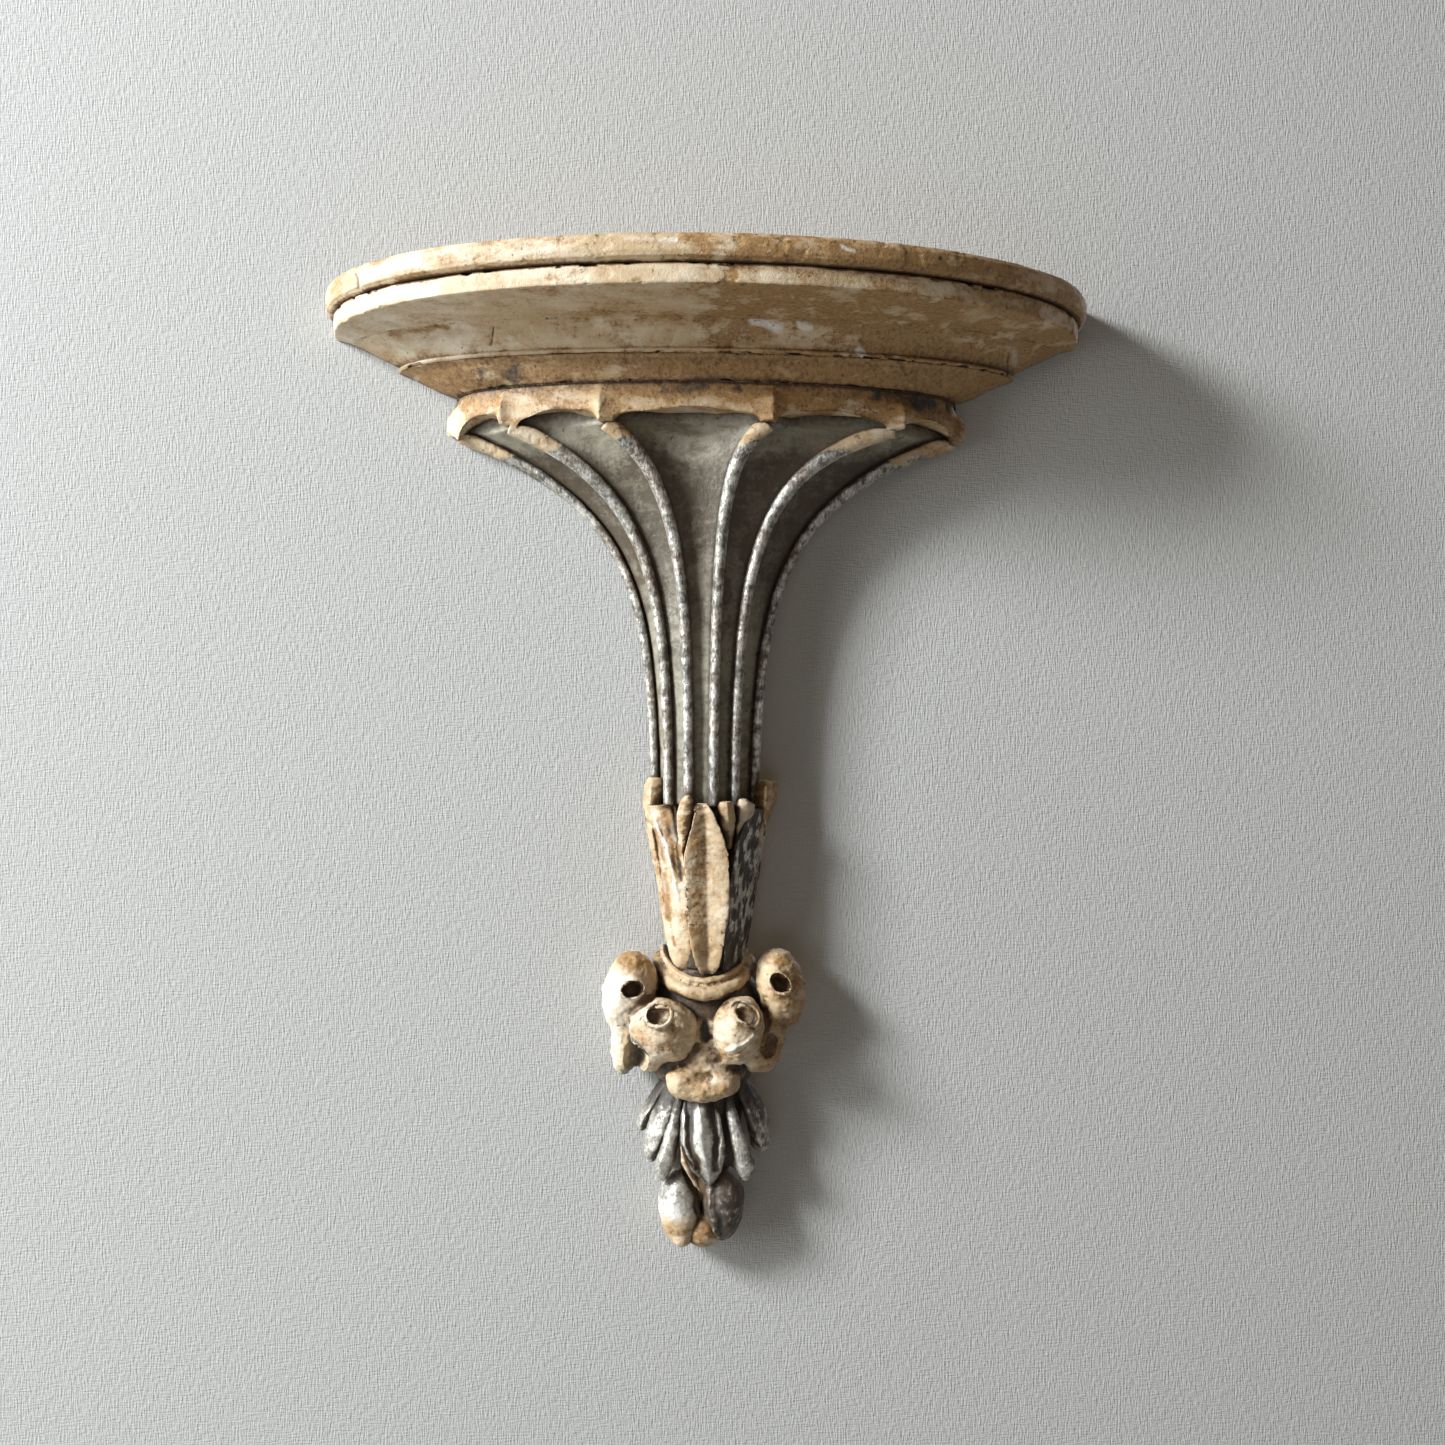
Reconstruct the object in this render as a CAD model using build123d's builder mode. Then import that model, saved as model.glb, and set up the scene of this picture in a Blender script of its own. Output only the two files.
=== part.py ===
"""Carved half-oval wall shelf on a fluted bracket, in millimetres.

Frame: X to the right, Y towards the wall, Z up.  The back of every piece lies on
the wall plane Y = 0, and the origin is midway between the two hanging holes.
"""
from build123d import *
from math import cos, exp, pi, radians, sin
import os

os.makedirs("parts", exist_ok=True)

# ---------------------------------------------------------------- driving sizes
# Half-oval shelf: half width along X, depth out from the wall along -Y.
shelf_half_w = 150.0
shelf_depth = 86.0
board_t = 10.8            # top board
board_round = 1.6
quirk_h = 1.2             # groove under the top board
quirk_in = 2.5
band_h = 5.4              # plain band under the groove
band_in = 3.2             # band set in from the board's edge
soffit_h = 1.8            # gently sloping underside behind the band
cove_h = 10.1             # hollow that runs down from the soffit
fillet_h = 1.7            # square edge at the foot of the hollow
bed_h = 9.0               # bed moulding that the bracket meets

neck_half_w = 121.5       # shelf at the foot of the hollow
neck_depth = 41.0
throat_share_w = 0.3      # part of the way in that the soffit takes at the shelf's ends
throat_share_d = 0.78     # and at its front

# Scalloped collar and fluted stem.
collar_h = 15.0
collar_wall = 2.6
prong_w = 6.0
arch_rise = 8.0
rim_half_w = 98.0
rim_depth = 37.0
stem_half_w = 19.0
stem_depth = 22.0
stem_len = 137.0
flare_len = 29.3          # the flare dies away by 1/e over this drop
twist_len = 10.0          # the ribs settle to their stem angles over this drop
flute_sink = 0.15         # hollow of a flute, as a share of its chord
rib_angles_rim = (-84.0, -50.0, -23.0, 13.0, 46.0, 84.0)
rib_angles_stem = (-84.0, -46.0, -20.0, 8.0, 33.0, 74.0)
rib_w_rim = 6.0
rib_w_stem = 3.2
rib_t = 2.8
rib_proud = 0.6           # rib centre outside the crest it caps

# Drop below the stem: leafy calyx, ring, fruit, tuft of leaves and bud.  Each has a
# carved core with an oval section: (half width, depth) at its top and at its foot.
calyx_len = 71.0
calyx_top = (20.0, 22.5)
calyx_foot = (13.5, 14.0)
ring_r = 16.0             # neck ring, to the middle of its section
ring_section_r = 4.0
ring_tilt = 28.0          # front of the ring hangs lower
fruit_len = 45.0
fruit_shoulder = (24.0, 16.0)
fruit_waist = (25.0, 19.0)
fruit_foot = (18.0, 17.0)
shoulder_share = 0.3        # share of the fruit's length down to its shoulder
waist_share = 0.62          # share of the fruit's length down to its waist
eye_pit_r = 3.0
tuft_len = 36.0
tuft_foot = (12.0, 13.0)
bud_len = 28.5
bud_foot = (6.0, 9.0)

# Hanging hardware and hidden fixings.
hanger_drop = 29.0        # hanging holes below the shelf's top face
hanger_spacing = 140.0
head_hole_r = 4.0
slot_r = 2.1
slot_rise = 7.0
plate_w = 14.0
plate_t = 1.6
plate_above = 16.2        # plate edge above and below the head hole's centre
plate_below = 10.5
plate_screw_r = 1.4
plate_screw_up = 13.4
plate_screw_down = 7.6
plate_screw_len = 11.0
pocket_depth = 7.0        # room for a screw head behind the plate
cleat_half_w = 92.0
cleat_below = 14.0        # cleat edge below the head hole's centre
cleat_t = 12.0
fit_gap = 0.1             # all round a peg, screw or plate in its seat
corbel_screw_r = 2.2
corbel_screw_head_r = 4.6
corbel_screw_head_h = 3.0
corbel_screw_x = 20.0
corbel_screw_off = 5.0    # in front of the cleat
corbel_screw_bite = 24.0  # thread in the fluted stem
stem_dowel_r = 4.5
finial_dowel_r = 3.0
dowel_bite = 22.0         # length of the stem dowel in the stem
dowel_seat = 10.0         # length of a dowel in its other end pieces
dowel_off = 8.0           # dowel axis out from the wall

# ---------------------------------------------------------------- derived places
top_z = hanger_drop
board_z = top_z - board_t
quirk_z = board_z - quirk_h
band_z = quirk_z - band_h
soffit_z = band_z - soffit_h
cove_z = soffit_z - cove_h
fillet_z = cove_z - fillet_h
bed_z = fillet_z - bed_h
rim_z = bed_z - collar_h
stem_z = rim_z - stem_len
calyx_z = stem_z - calyx_len
fruit_z = calyx_z - fruit_len
tuft_z = fruit_z - tuft_len
bud_z = tuft_z - bud_len

band_half_w = shelf_half_w - band_in
band_depth = shelf_depth - band_in
throat_half_w = band_half_w + (neck_half_w - band_half_w) * throat_share_w
throat_depth = band_depth + (neck_depth - band_depth) * throat_share_d
collar_half_w = rim_half_w + collar_wall
collar_depth = rim_depth + collar_wall
screw_y = -(cleat_t + corbel_screw_off)


# ---------------------------------------------------------------- shared helpers
def finish(piece, name):
    """Label a finished piece and write its STEP file."""
    piece.part.label = name
    export_step(piece.part, f"parts/{name}.step")
    return piece


def oval_loft(sections):
    """Half-oval body through (z, half width, depth) sections, flat against the wall."""
    with BuildPart() as body:
        for z, half_w, depth in sections:
            with BuildSketch(Plane.XY.offset(z)):
                Ellipse(half_w, depth)
        loft(ruled=len(sections) == 2)
        split(bisect_by=Plane.XZ, keep=Keep.TOP)
    return body.part


def curved(start, end, hollow, steps=3, full_turn=72.0):
    """Sections (z, half width, depth) down a rounded or a hollow stretch of moulding."""
    sections = []
    for step in range(steps + 1):
        share = (steps - step if hollow else step) / steps
        turn = radians(full_turn * share)
        inward = (1 - cos(turn)) / (1 - cos(radians(full_turn)))
        down = sin(turn) / sin(radians(full_turn))
        if hollow:
            inward, down = 1 - inward, 1 - down
        sections.append((
            start[0] + (end[0] - start[0]) * down,
            start[1] + (end[1] - start[1]) * inward,
            start[2] + (end[2] - start[2]) * inward,
        ))
    return sections


def screw(radius, head_r, head_h, length, tip_share=0.25):
    """Countersunk wood screw along -Z, its head's face at Z = 0."""
    tip = length * tip_share
    with BuildPart() as body:
        with BuildSketch(Plane.XZ):
            with BuildLine():
                Polyline(
                    (0, 0), (head_r, 0), (radius, -head_h), (radius, tip - length),
                    (0.3, -length), (0, -length), close=True,
                )
            make_face()
        revolve(axis=Axis.Z)
    return body.part


# ---------------------------------------------------------------- hanging cleat
hanger_xs = (-hanger_spacing / 2, hanger_spacing / 2)


def plate_outline(gap):
    """Hanger plate's outline, round the head hole, grown by a gap."""
    low, high = -plate_below - gap, plate_above + gap
    with Locations((0, (low + high) / 2)):
        RectangleRounded(plate_w + 2 * gap, high - low, 2.0 + gap)


def plate_screw_places(x):
    return [(x, plate_screw_up), (x, -plate_screw_down)]


with BuildPart() as cleat_notch:
    with BuildSketch(Plane.XZ):
        with Locations((0, board_z)):
            Rectangle(2 * cleat_half_w, board_z + cleat_below, align=(Align.CENTER, Align.MAX))
    extrude(amount=cleat_t)

with BuildPart() as back_cleat:
    add(cleat_notch.part)
    for hanger_x in hanger_xs:
        with BuildSketch(Plane.XZ.move(Location((hanger_x, 0, 0)))):
            plate_outline(fit_gap)
        extrude(amount=plate_t, mode=Mode.SUBTRACT)
        with BuildSketch(Plane.XZ.move(Location((hanger_x, -plate_t, 0)))):
            with Locations((0, slot_rise / 2)):
                SlotCenterToCenter(slot_rise, 2 * head_hole_r, rotation=90)
        extrude(amount=pocket_depth, mode=Mode.SUBTRACT)
        with BuildSketch(Plane.XZ):
            with Locations(*plate_screw_places(hanger_x)):
                Circle(plate_screw_r + fit_gap)
        extrude(amount=plate_screw_len + fit_gap, mode=Mode.SUBTRACT)
finish(back_cleat, "back_cleat")

plate_screw_head_r = 2 * plate_screw_r
for side, hanger_x in zip(("left", "right"), hanger_xs):
    with BuildPart() as hanger_plate:
        with BuildSketch(Plane.XZ.move(Location((hanger_x, 0, 0)))):
            plate_outline(0)
            Circle(head_hole_r, mode=Mode.SUBTRACT)
            with Locations((0, slot_rise / 2)):
                SlotCenterToCenter(slot_rise, 2 * slot_r, rotation=90, mode=Mode.SUBTRACT)
        extrude(amount=plate_t)
        for _, screw_z in plate_screw_places(0):
            with Locations(Plane(origin=(hanger_x, 0, screw_z), z_dir=(0, 1, 0))):
                CounterSinkHole(plate_screw_r + fit_gap, plate_screw_head_r + fit_gap, 2 * plate_t)
    finish(hanger_plate, f"hanger_plate_{side}")

with BuildPart() as hanger_screws:
    one_screw = screw(plate_screw_r, plate_screw_head_r, plate_screw_r, plate_screw_len)
    for hanger_x in hanger_xs:
        for screw_x, screw_z in plate_screw_places(hanger_x):
            with Locations(Plane(origin=(screw_x, 0, screw_z), z_dir=(0, 1, 0))):
                add(one_screw)
finish(hanger_screws, "hanger_screws")


# ---------------------------------------------------------------- corbel screws
corbel_screw_len = quirk_z - rim_z + corbel_screw_bite
corbel_screw_places = [
    Location((x, screw_y, quirk_z)) for x in (-corbel_screw_x, corbel_screw_x)
]
with BuildPart() as corbel_screws:
    with Locations(*corbel_screw_places):
        add(screw(corbel_screw_r, corbel_screw_head_r, corbel_screw_head_h, corbel_screw_len))
finish(corbel_screws, "corbel_screws")


def screw_clearance():
    """Bores for the corbel screws, with their head pockets, as one cutter."""
    bore_r = corbel_screw_r + fit_gap
    head_r = corbel_screw_head_r + fit_gap
    with BuildPart() as cutter:
        with Locations(*corbel_screw_places):
            Cylinder(
                bore_r, corbel_screw_len + fit_gap, align=(Align.CENTER, Align.CENTER, Align.MAX)
            )
            Cone(
                bore_r, head_r, corbel_screw_head_h,
                align=(Align.CENTER, Align.CENTER, Align.MAX),
            )
            Cylinder(head_r, 2 * quirk_h, align=(Align.CENTER, Align.CENTER, Align.MIN))
    return cutter.part


corbel_bores = screw_clearance()

# ---------------------------------------------------------------- dowels
def upright_rod(radius, foot, top):
    """Round rod on the drop's axis."""
    with BuildPart() as rod:
        with Locations((0, -dowel_off, foot)):
            Cylinder(radius, top - foot, align=(Align.CENTER, Align.CENTER, Align.MIN))
    return rod


# name: (radius, foot, top)
dowels = {
    "stem_dowel": (stem_dowel_r, calyx_z - dowel_seat, stem_z + dowel_bite),
    "finial_dowel": (finial_dowel_r, tuft_z - dowel_seat, fruit_z + dowel_seat),
}
for name, (radius, foot, top) in dowels.items():
    finish(upright_rod(radius, foot, top), name)
stem_dowel_bore, finial_dowel_bore = [
    upright_rod(radius + fit_gap, foot - fit_gap, top + fit_gap).part
    for radius, foot, top in dowels.values()
]

# ---------------------------------------------------------------- shelf mouldings
with BuildPart() as top_board:
    with BuildSketch(Plane.XY.offset(board_z)):
        Ellipse(shelf_half_w, shelf_depth)
    extrude(amount=board_t)
    fillet(top_board.edges().filter_by(GeomType.ELLIPSE), board_round)
    split(bisect_by=Plane.XZ, keep=Keep.TOP)
finish(top_board, "top_board")

quirk_half_w = band_half_w - quirk_in
quirk_depth = band_depth - quirk_in
with BuildPart() as upper_moulding:
    add(oval_loft([(quirk_z, quirk_half_w, quirk_depth), (board_z, quirk_half_w, quirk_depth)]))
    add(oval_loft([(band_z, band_half_w, band_depth), (quirk_z, band_half_w, band_depth)]))
    add(oval_loft([(soffit_z, throat_half_w, throat_depth), (band_z, band_half_w, band_depth)]))
    add(cleat_notch.part, mode=Mode.SUBTRACT)
    add(corbel_bores, mode=Mode.SUBTRACT)
finish(upper_moulding, "upper_moulding")

with BuildPart() as cove_moulding:
    add(oval_loft(curved(
        (soffit_z, throat_half_w, throat_depth), (cove_z, neck_half_w, neck_depth), hollow=True,
    )))
    add(oval_loft([(fillet_z, neck_half_w, neck_depth), (cove_z, neck_half_w, neck_depth)]))
    add(cleat_notch.part, mode=Mode.SUBTRACT)
    add(corbel_bores, mode=Mode.SUBTRACT)
finish(cove_moulding, "cove_moulding")

with BuildPart() as bed_moulding:
    add(oval_loft(curved(
        (fillet_z, neck_half_w, neck_depth), (bed_z, collar_half_w, collar_depth), hollow=False,
    )))
    add(cleat_notch.part, mode=Mode.SUBTRACT)
    add(corbel_bores, mode=Mode.SUBTRACT)
finish(bed_moulding, "bed_moulding")


# ---------------------------------------------------------------- fluted stem
def flare(drop):
    return exp(-drop / flare_len)


def stem_size(drop):
    """Half width and depth over the rib crests, a drop below the rim."""
    return (
        stem_half_w + (rim_half_w - stem_half_w) * flare(drop),
        stem_depth + (rim_depth - stem_depth) * flare(drop),
    )


def crest(rib, drop):
    """Point where a rib's crest stands, a drop below the rim."""
    settle = exp(-drop / twist_len)
    turn = radians(
        rib_angles_stem[rib] + (rib_angles_rim[rib] - rib_angles_stem[rib]) * settle
    )
    half_w, depth = stem_size(drop)
    return Vector(half_w * sin(turn), -depth * cos(turn), rim_z - drop)


def outward(point, drop):
    """Level direction that points straight out of the stem's oval at a point."""
    half_w, depth = stem_size(drop)
    return Vector(point.X / half_w**2, point.Y / depth**2, 0).normalized()


def flute_hollow(left, right):
    """Deepest point of the flute between two crests on one level."""
    chord = right - left
    inward = Vector(-chord.Y, chord.X, 0).normalized()
    return (left + right) / 2 + inward * (chord.length * flute_sink)


ribs = range(len(rib_angles_rim))
back_margin = 2.0         # sections reach past the wall plane before they are cut flat


def fluted_section(drop):
    """Outline of the stem at one level: a hollow flute between each two crests."""
    tops = [crest(rib, drop) for rib in ribs]
    with BuildSketch(Plane.XY.offset(rim_z - drop)) as section:
        with BuildLine():
            for left, right in zip(tops, tops[1:]):
                hollow = flute_hollow(left, right)
                ThreePointArc((left.X, left.Y), (hollow.X, hollow.Y), (right.X, right.Y))
            Polyline(
                (tops[-1].X, tops[-1].Y), (tops[-1].X, back_margin),
                (tops[0].X, back_margin), (tops[0].X, tops[0].Y),
            )
        make_face()
    return section.sketch


stations = (0, 0.04, 0.1, 0.18, 0.27, 0.37, 0.48, 0.59, 0.7, 0.8, 0.9, 1)
stem_drops = [stem_len * share for share in stations]

with BuildPart() as stem_blank:
    loft([fluted_section(drop) for drop in stem_drops])
    extrude(fluted_section(0), amount=collar_h)
    split(bisect_by=Plane.XZ, keep=Keep.TOP)

with BuildPart() as fluted_core:
    add(stem_blank.part)
    add(cleat_notch.part, mode=Mode.SUBTRACT)
    add(corbel_bores, mode=Mode.SUBTRACT)
    add(stem_dowel_bore, mode=Mode.SUBTRACT)
finish(fluted_core, "fluted_core")


# ---------------------------------------------------------------- scalloped collar
with BuildPart() as scalloped_collar:
    with BuildSketch(Plane.XY.offset(rim_z)):
        Ellipse(collar_half_w, collar_depth)
    extrude(amount=collar_h)
    split(bisect_by=Plane.XZ, keep=Keep.TOP)
    for rib in ribs[:-1]:
        left, right = crest(rib, 0), crest(rib + 1, 0)
        along = right - left
        facing = Vector(along.Y, -along.X, 0)
        with BuildSketch(Plane(origin=(left + right) / 2, x_dir=along, z_dir=facing)):
            Ellipse((along.length - prong_w) / 2, arch_rise)
        extrude(amount=2 * prong_w + along.length * flute_sink, both=True, mode=Mode.SUBTRACT)
    add(stem_blank.part, mode=Mode.SUBTRACT)
    add(cleat_notch.part, mode=Mode.SUBTRACT)
finish(scalloped_collar, "scalloped_collar")


# ---------------------------------------------------------------- ribs
def rib_plane(rib, drop):
    """Plane square to a rib's crest line, its X across the rib and its Y outward."""
    step = 0.5
    here = crest(rib, drop)
    run = (crest(rib, drop + step) - crest(rib, max(drop - step, 0))).normalized()
    out = outward(here, drop)
    proud = (out - run * out.dot(run)).normalized()
    return Plane(origin=here + proud * rib_proud, x_dir=proud.cross(run), z_dir=run)


for rib in ribs:
    with BuildPart() as stem_rib:
        for drop in stem_drops:
            half_w = (rib_w_stem + (rib_w_rim - rib_w_stem) * flare(drop)) / 2
            with BuildSketch(rib_plane(rib, drop)):
                with BuildLine():
                    Polyline(
                        (-half_w, 0), (-half_w, -rib_t / 2), (half_w, -rib_t / 2), (half_w, 0)
                    )
                    ThreePointArc((half_w, 0), (0, rib_t / 2), (-half_w, 0))
                make_face()
        loft()
        split(bisect_by=Plane.XZ, keep=Keep.TOP)
        split(bisect_by=Plane.XY.offset(rim_z), keep=Keep.BOTTOM)
        split(bisect_by=Plane.XY.offset(stem_z), keep=Keep.TOP)
        add(stem_blank.part, mode=Mode.SUBTRACT)
        add(scalloped_collar.part, mode=Mode.SUBTRACT)
    finish(stem_rib, f"rib_{rib + 1}")


# ---------------------------------------------------------------- drop: shared helpers
def seated(body, neighbours):
    """Cut a carved piece flat at the wall and back to the pieces that it sits on."""
    with BuildPart() as piece:
        add(body)
        split(bisect_by=Plane.XZ, keep=Keep.TOP)
        for neighbour in neighbours:
            if piece.part.bounding_box().overlaps(neighbour.bounding_box()):
                add(neighbour, mode=Mode.SUBTRACT)
    return piece


def tapered(top_level, top_size, foot_level, foot_size):
    """Half width and depth of a straight-sided core as a function of level."""
    def size(level):
        share = (level - foot_level) / (top_level - foot_level)
        return [foot + (top - foot) * share for top, foot in zip(top_size, foot_size)]
    return size


# (share of the way from base to tip, share of the full width)
blade_shape = ((0, 0.55), (0.28, 0.88), (0.54, 1.0), (0.79, 0.72), (1, 0.14))


def blade(turn, base, tip, size, width, thick, lifts):
    """Leaf on a core whose size depends on level, at a turn from straight ahead.

    lifts are the distances of the leaf's middle outside the core, from base to tip.
    """
    side, ahead = sin(radians(turn)), -cos(radians(turn))
    with BuildPart() as leaf:
        for (along, spread), lift in zip(blade_shape, lifts):
            level = base + (tip - base) * along
            half_w, depth = size(level)
            centre = ((half_w + lift) * side, (depth + lift) * ahead, level)
            across = (-half_w * ahead, depth * side, 0)
            with BuildSketch(Plane(origin=centre, x_dir=across, z_dir=(0, 0, 1))):
                Ellipse(width * spread / 2, thick * (1 + spread) / 4)
        loft()
    return leaf.part


# (share of the half length from the middle, share of the full radius)
egg_shape = ((-1, 0.3), (-0.85, 0.6), (-0.45, 0.92), (0.05, 1), (0.5, 0.87), (0.86, 0.55), (1, 0.3))


def egg(centre, half_len, radius, lean):
    """Egg-shaped fruit, long along its lean."""
    axis = Vector(*lean).normalized()
    with BuildPart() as body:
        for along, spread in egg_shape:
            middle = Vector(*centre) + axis * (half_len * along)
            with BuildSketch(Plane(origin=middle, x_dir=(0, -1, 0), z_dir=axis)):
                with BuildLine():
                    for quarter in range(4):
                        CenterArc((0, 0), radius * spread, 90 * quarter, 90)
                make_face()
        loft()
    return body


def bun(centre, half_len, radius, lean):
    """Fruit squat along its lean, with a full round edge."""
    with BuildPart() as body:
        with Locations(Plane(origin=centre, z_dir=lean)):
            Cylinder(radius, 2 * half_len)
        fillet(body.edges().filter_by(GeomType.CIRCLE), 0.9 * half_len)
    return body


def fruit_blank(form, centre, half_len, radius, lean, eye):
    """Fruit of a form, with a round pit where its eye looks."""
    body = form(centre, half_len, radius, lean)
    if eye:
        pit = Vector(*centre) + Vector(*eye).normalized() * min(half_len, radius)
        with BuildPart() as fruit:
            add(body.part)
            with Locations(pit):
                Sphere(eye_pit_r, mode=Mode.SUBTRACT)
        return fruit.part
    return body.part


# ---------------------------------------------------------------- drop: cores
calyx_solid = oval_loft([(calyx_z, *calyx_foot), (stem_z, *calyx_top)])
fruit_solid = oval_loft([
    (fruit_z, *fruit_foot), (calyx_z - fruit_len * waist_share, *fruit_waist),
    (calyx_z - fruit_len * shoulder_share, *fruit_shoulder), (calyx_z, *calyx_foot),
])
tuft_solid = oval_loft([(tuft_z, *tuft_foot), (fruit_z, *fruit_foot)])
bud_solid = oval_loft([(bud_z, *bud_foot), (tuft_z, *tuft_foot)])

cores = {
    "calyx_core": (calyx_solid, [stem_dowel_bore]),
    "fruit_core": (fruit_solid, [stem_dowel_bore, finial_dowel_bore]),
    "tuft_core": (tuft_solid, [finial_dowel_bore]),
}
for name, (solid, bores) in cores.items():
    with BuildPart() as core:
        add(solid)
        for bore in bores:
            add(bore, mode=Mode.SUBTRACT)
    finish(core, name)


# ---------------------------------------------------------------- calyx
calyx_size = tapered(stem_z, calyx_top, calyx_z, calyx_foot)
calyx_leaf_t = 4.4
leaf_len = 65.0
sprig_len = 26.0
# name: (turn, tip above the calyx core's top, length, width, lift at the tip)
calyx_leaves = {
    "front_leaf": (-1, -6, leaf_len, 17.5, 2.2),
    "left_leaf": (-47, -5, leaf_len, 16.0, 4.5),
    "right_leaf": (47, -5, leaf_len, 15.0, 4.5),
    "left_side_leaf": (-84, 1, leaf_len, 15.0, 6.5),
    "right_side_leaf": (84, 2, leaf_len, 15.0, 8.0),
    "left_sprig": (-24, -3, sprig_len, 9.0, 2.4),
    "front_sprig": (15, -5, sprig_len, 8.0, 2.4),
    "right_sprig": (30, -4, sprig_len, 8.0, 2.8),
}
calyx_carving = []
for name, (turn, above, length, width, tip_lift) in calyx_leaves.items():
    tip = stem_z + above
    lifts = (0.2, 0.6, 0.9, 1.2 + tip_lift / 5, tip_lift)
    leaf = seated(
        blade(turn, tip - length, tip, calyx_size, width, calyx_leaf_t, lifts),
        [calyx_solid, stem_blank.part, *calyx_carving],
    )
    calyx_carving.append(leaf.part)
    finish(leaf, name)


# ---------------------------------------------------------------- fruit
with BuildPart() as ring_blank:
    with Locations((0, 0, calyx_z)):
        Torus(ring_r, ring_section_r, rotation=(ring_tilt, 0, 0))
neck_ring = seated(ring_blank.part, [calyx_solid, fruit_solid, *calyx_carving])
finish(neck_ring, "neck_ring")

# name: (form, centre below the calyx, half length, radius, lean, eye direction)
fruits = {
    "inner_left_fruit": (bun, (-15, -19, -22), 11.5, 13.5, (0.35, 0, 1), (-0.5, -0.75, 0.45)),
    "inner_right_fruit": (egg, (12.9, -21, -22.6), 12.8, 10.8, (0.3, 0, 1), (0.35, -0.8, 0.5)),
    "outer_left_fruit": (egg, (-29, -10, -8.5), 17.0, 11.2, (0.15, 0, 1), (-0.1, -1, 0.15)),
    "outer_right_fruit": (egg, (30.5, -10, -8), 16.5, 10.2, (-0.15, 0, 1), (-0.2, -1, 0.3)),
    "chin_lobe": (bun, (-0.5, -14, -40.5), 8.4, 14.6, (0.05, 0, 1), None),
    "right_husk": (egg, (22.2, -14, -28.2), 13.9, 7.8, (0.2, 0, 1), None),
    "left_husk": (egg, (-27.5, -11, -32), 13.0, 7.5, (-0.1, 0, 1), None),
}
fruit_carving = []
for name, (form, (x, y, below), half_len, radius, lean, eye) in fruits.items():
    fruit = seated(
        fruit_blank(form, (x, y, calyx_z + below), half_len, radius, lean, eye),
        [calyx_solid, fruit_solid, tuft_solid, neck_ring.part, *calyx_carving, *fruit_carving],
    )
    fruit_carving.append(fruit.part)
    finish(fruit, name)


# ---------------------------------------------------------------- tuft of leaves
tuft_size = tapered(fruit_z, fruit_foot, tuft_z, tuft_foot)
tuft_leaf_t = 5.0
# name: (turn, tip above the tuft core's foot, width, lift at the tip)
tuft_leaves = {
    "tuft_front_leaf": (0, -0.5, 18.5, 4.0),
    "tuft_left_leaf": (-38, -4, 12.0, 5.5),
    "tuft_right_leaf": (42, -3.5, 11.0, 5.5),
    "tuft_left_side_leaf": (-62, 3, 9.5, 9.0),
    "tuft_right_side_leaf": (74, 7, 11.5, 9.5),
    "tuft_left_back_leaf": (-84, 13, 9.0, 10.5),
    "tuft_sprig": (-13, -5, 6.0, 1.5),
}
tuft_carving = []
for name, (turn, above, width, tip_lift) in tuft_leaves.items():
    lifts = [0.4 + (tip_lift - 0.4) * share for share in (0, 0.5, 0.8, 1, 1)]
    leaf = seated(
        blade(turn, fruit_z - 0.5, tuft_z + above, tuft_size, width, tuft_leaf_t, lifts),
        [fruit_solid, tuft_solid, *fruit_carving, *tuft_carving],
    )
    tuft_carving.append(leaf.part)
    finish(leaf, name)


# ---------------------------------------------------------------- bud
bud_core = seated(bud_solid, [finial_dowel_bore, *tuft_carving])
finish(bud_core, "bud_core")

# name: (centre above the bud's foot, half length, radius, lean)
bud_petals = {
    "left_petal": ((-9.3, -9, 14.3), 14.3, 8.6, (-0.08, 0, 1)),
    "right_petal": ((7.6, -9, 16.0), 13.2, 8.4, (0.06, 0, 1)),
}
bud_carving = []
for name, ((x, y, above), half_len, radius, lean) in bud_petals.items():
    petal = seated(
        egg((x, y, bud_z + above), half_len, radius, lean).part,
        [tuft_solid, bud_solid, *tuft_carving, *bud_carving],
    )
    bud_carving.append(petal.part)
    finish(petal, name)
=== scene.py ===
"""Looks of the carved wall shelf: worn gesso mouldings, a fluted stem and a carved drop.

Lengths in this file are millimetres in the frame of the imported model, unless a comment
says metres.  X is to the right, Y goes into the wall and Z is up.
"""

from math import cos, pi, radians, sin

import bmesh
import bpy
import numpy as np
from mathutils import Matrix, Vector
from mathutils.kdtree import KDTree


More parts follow.
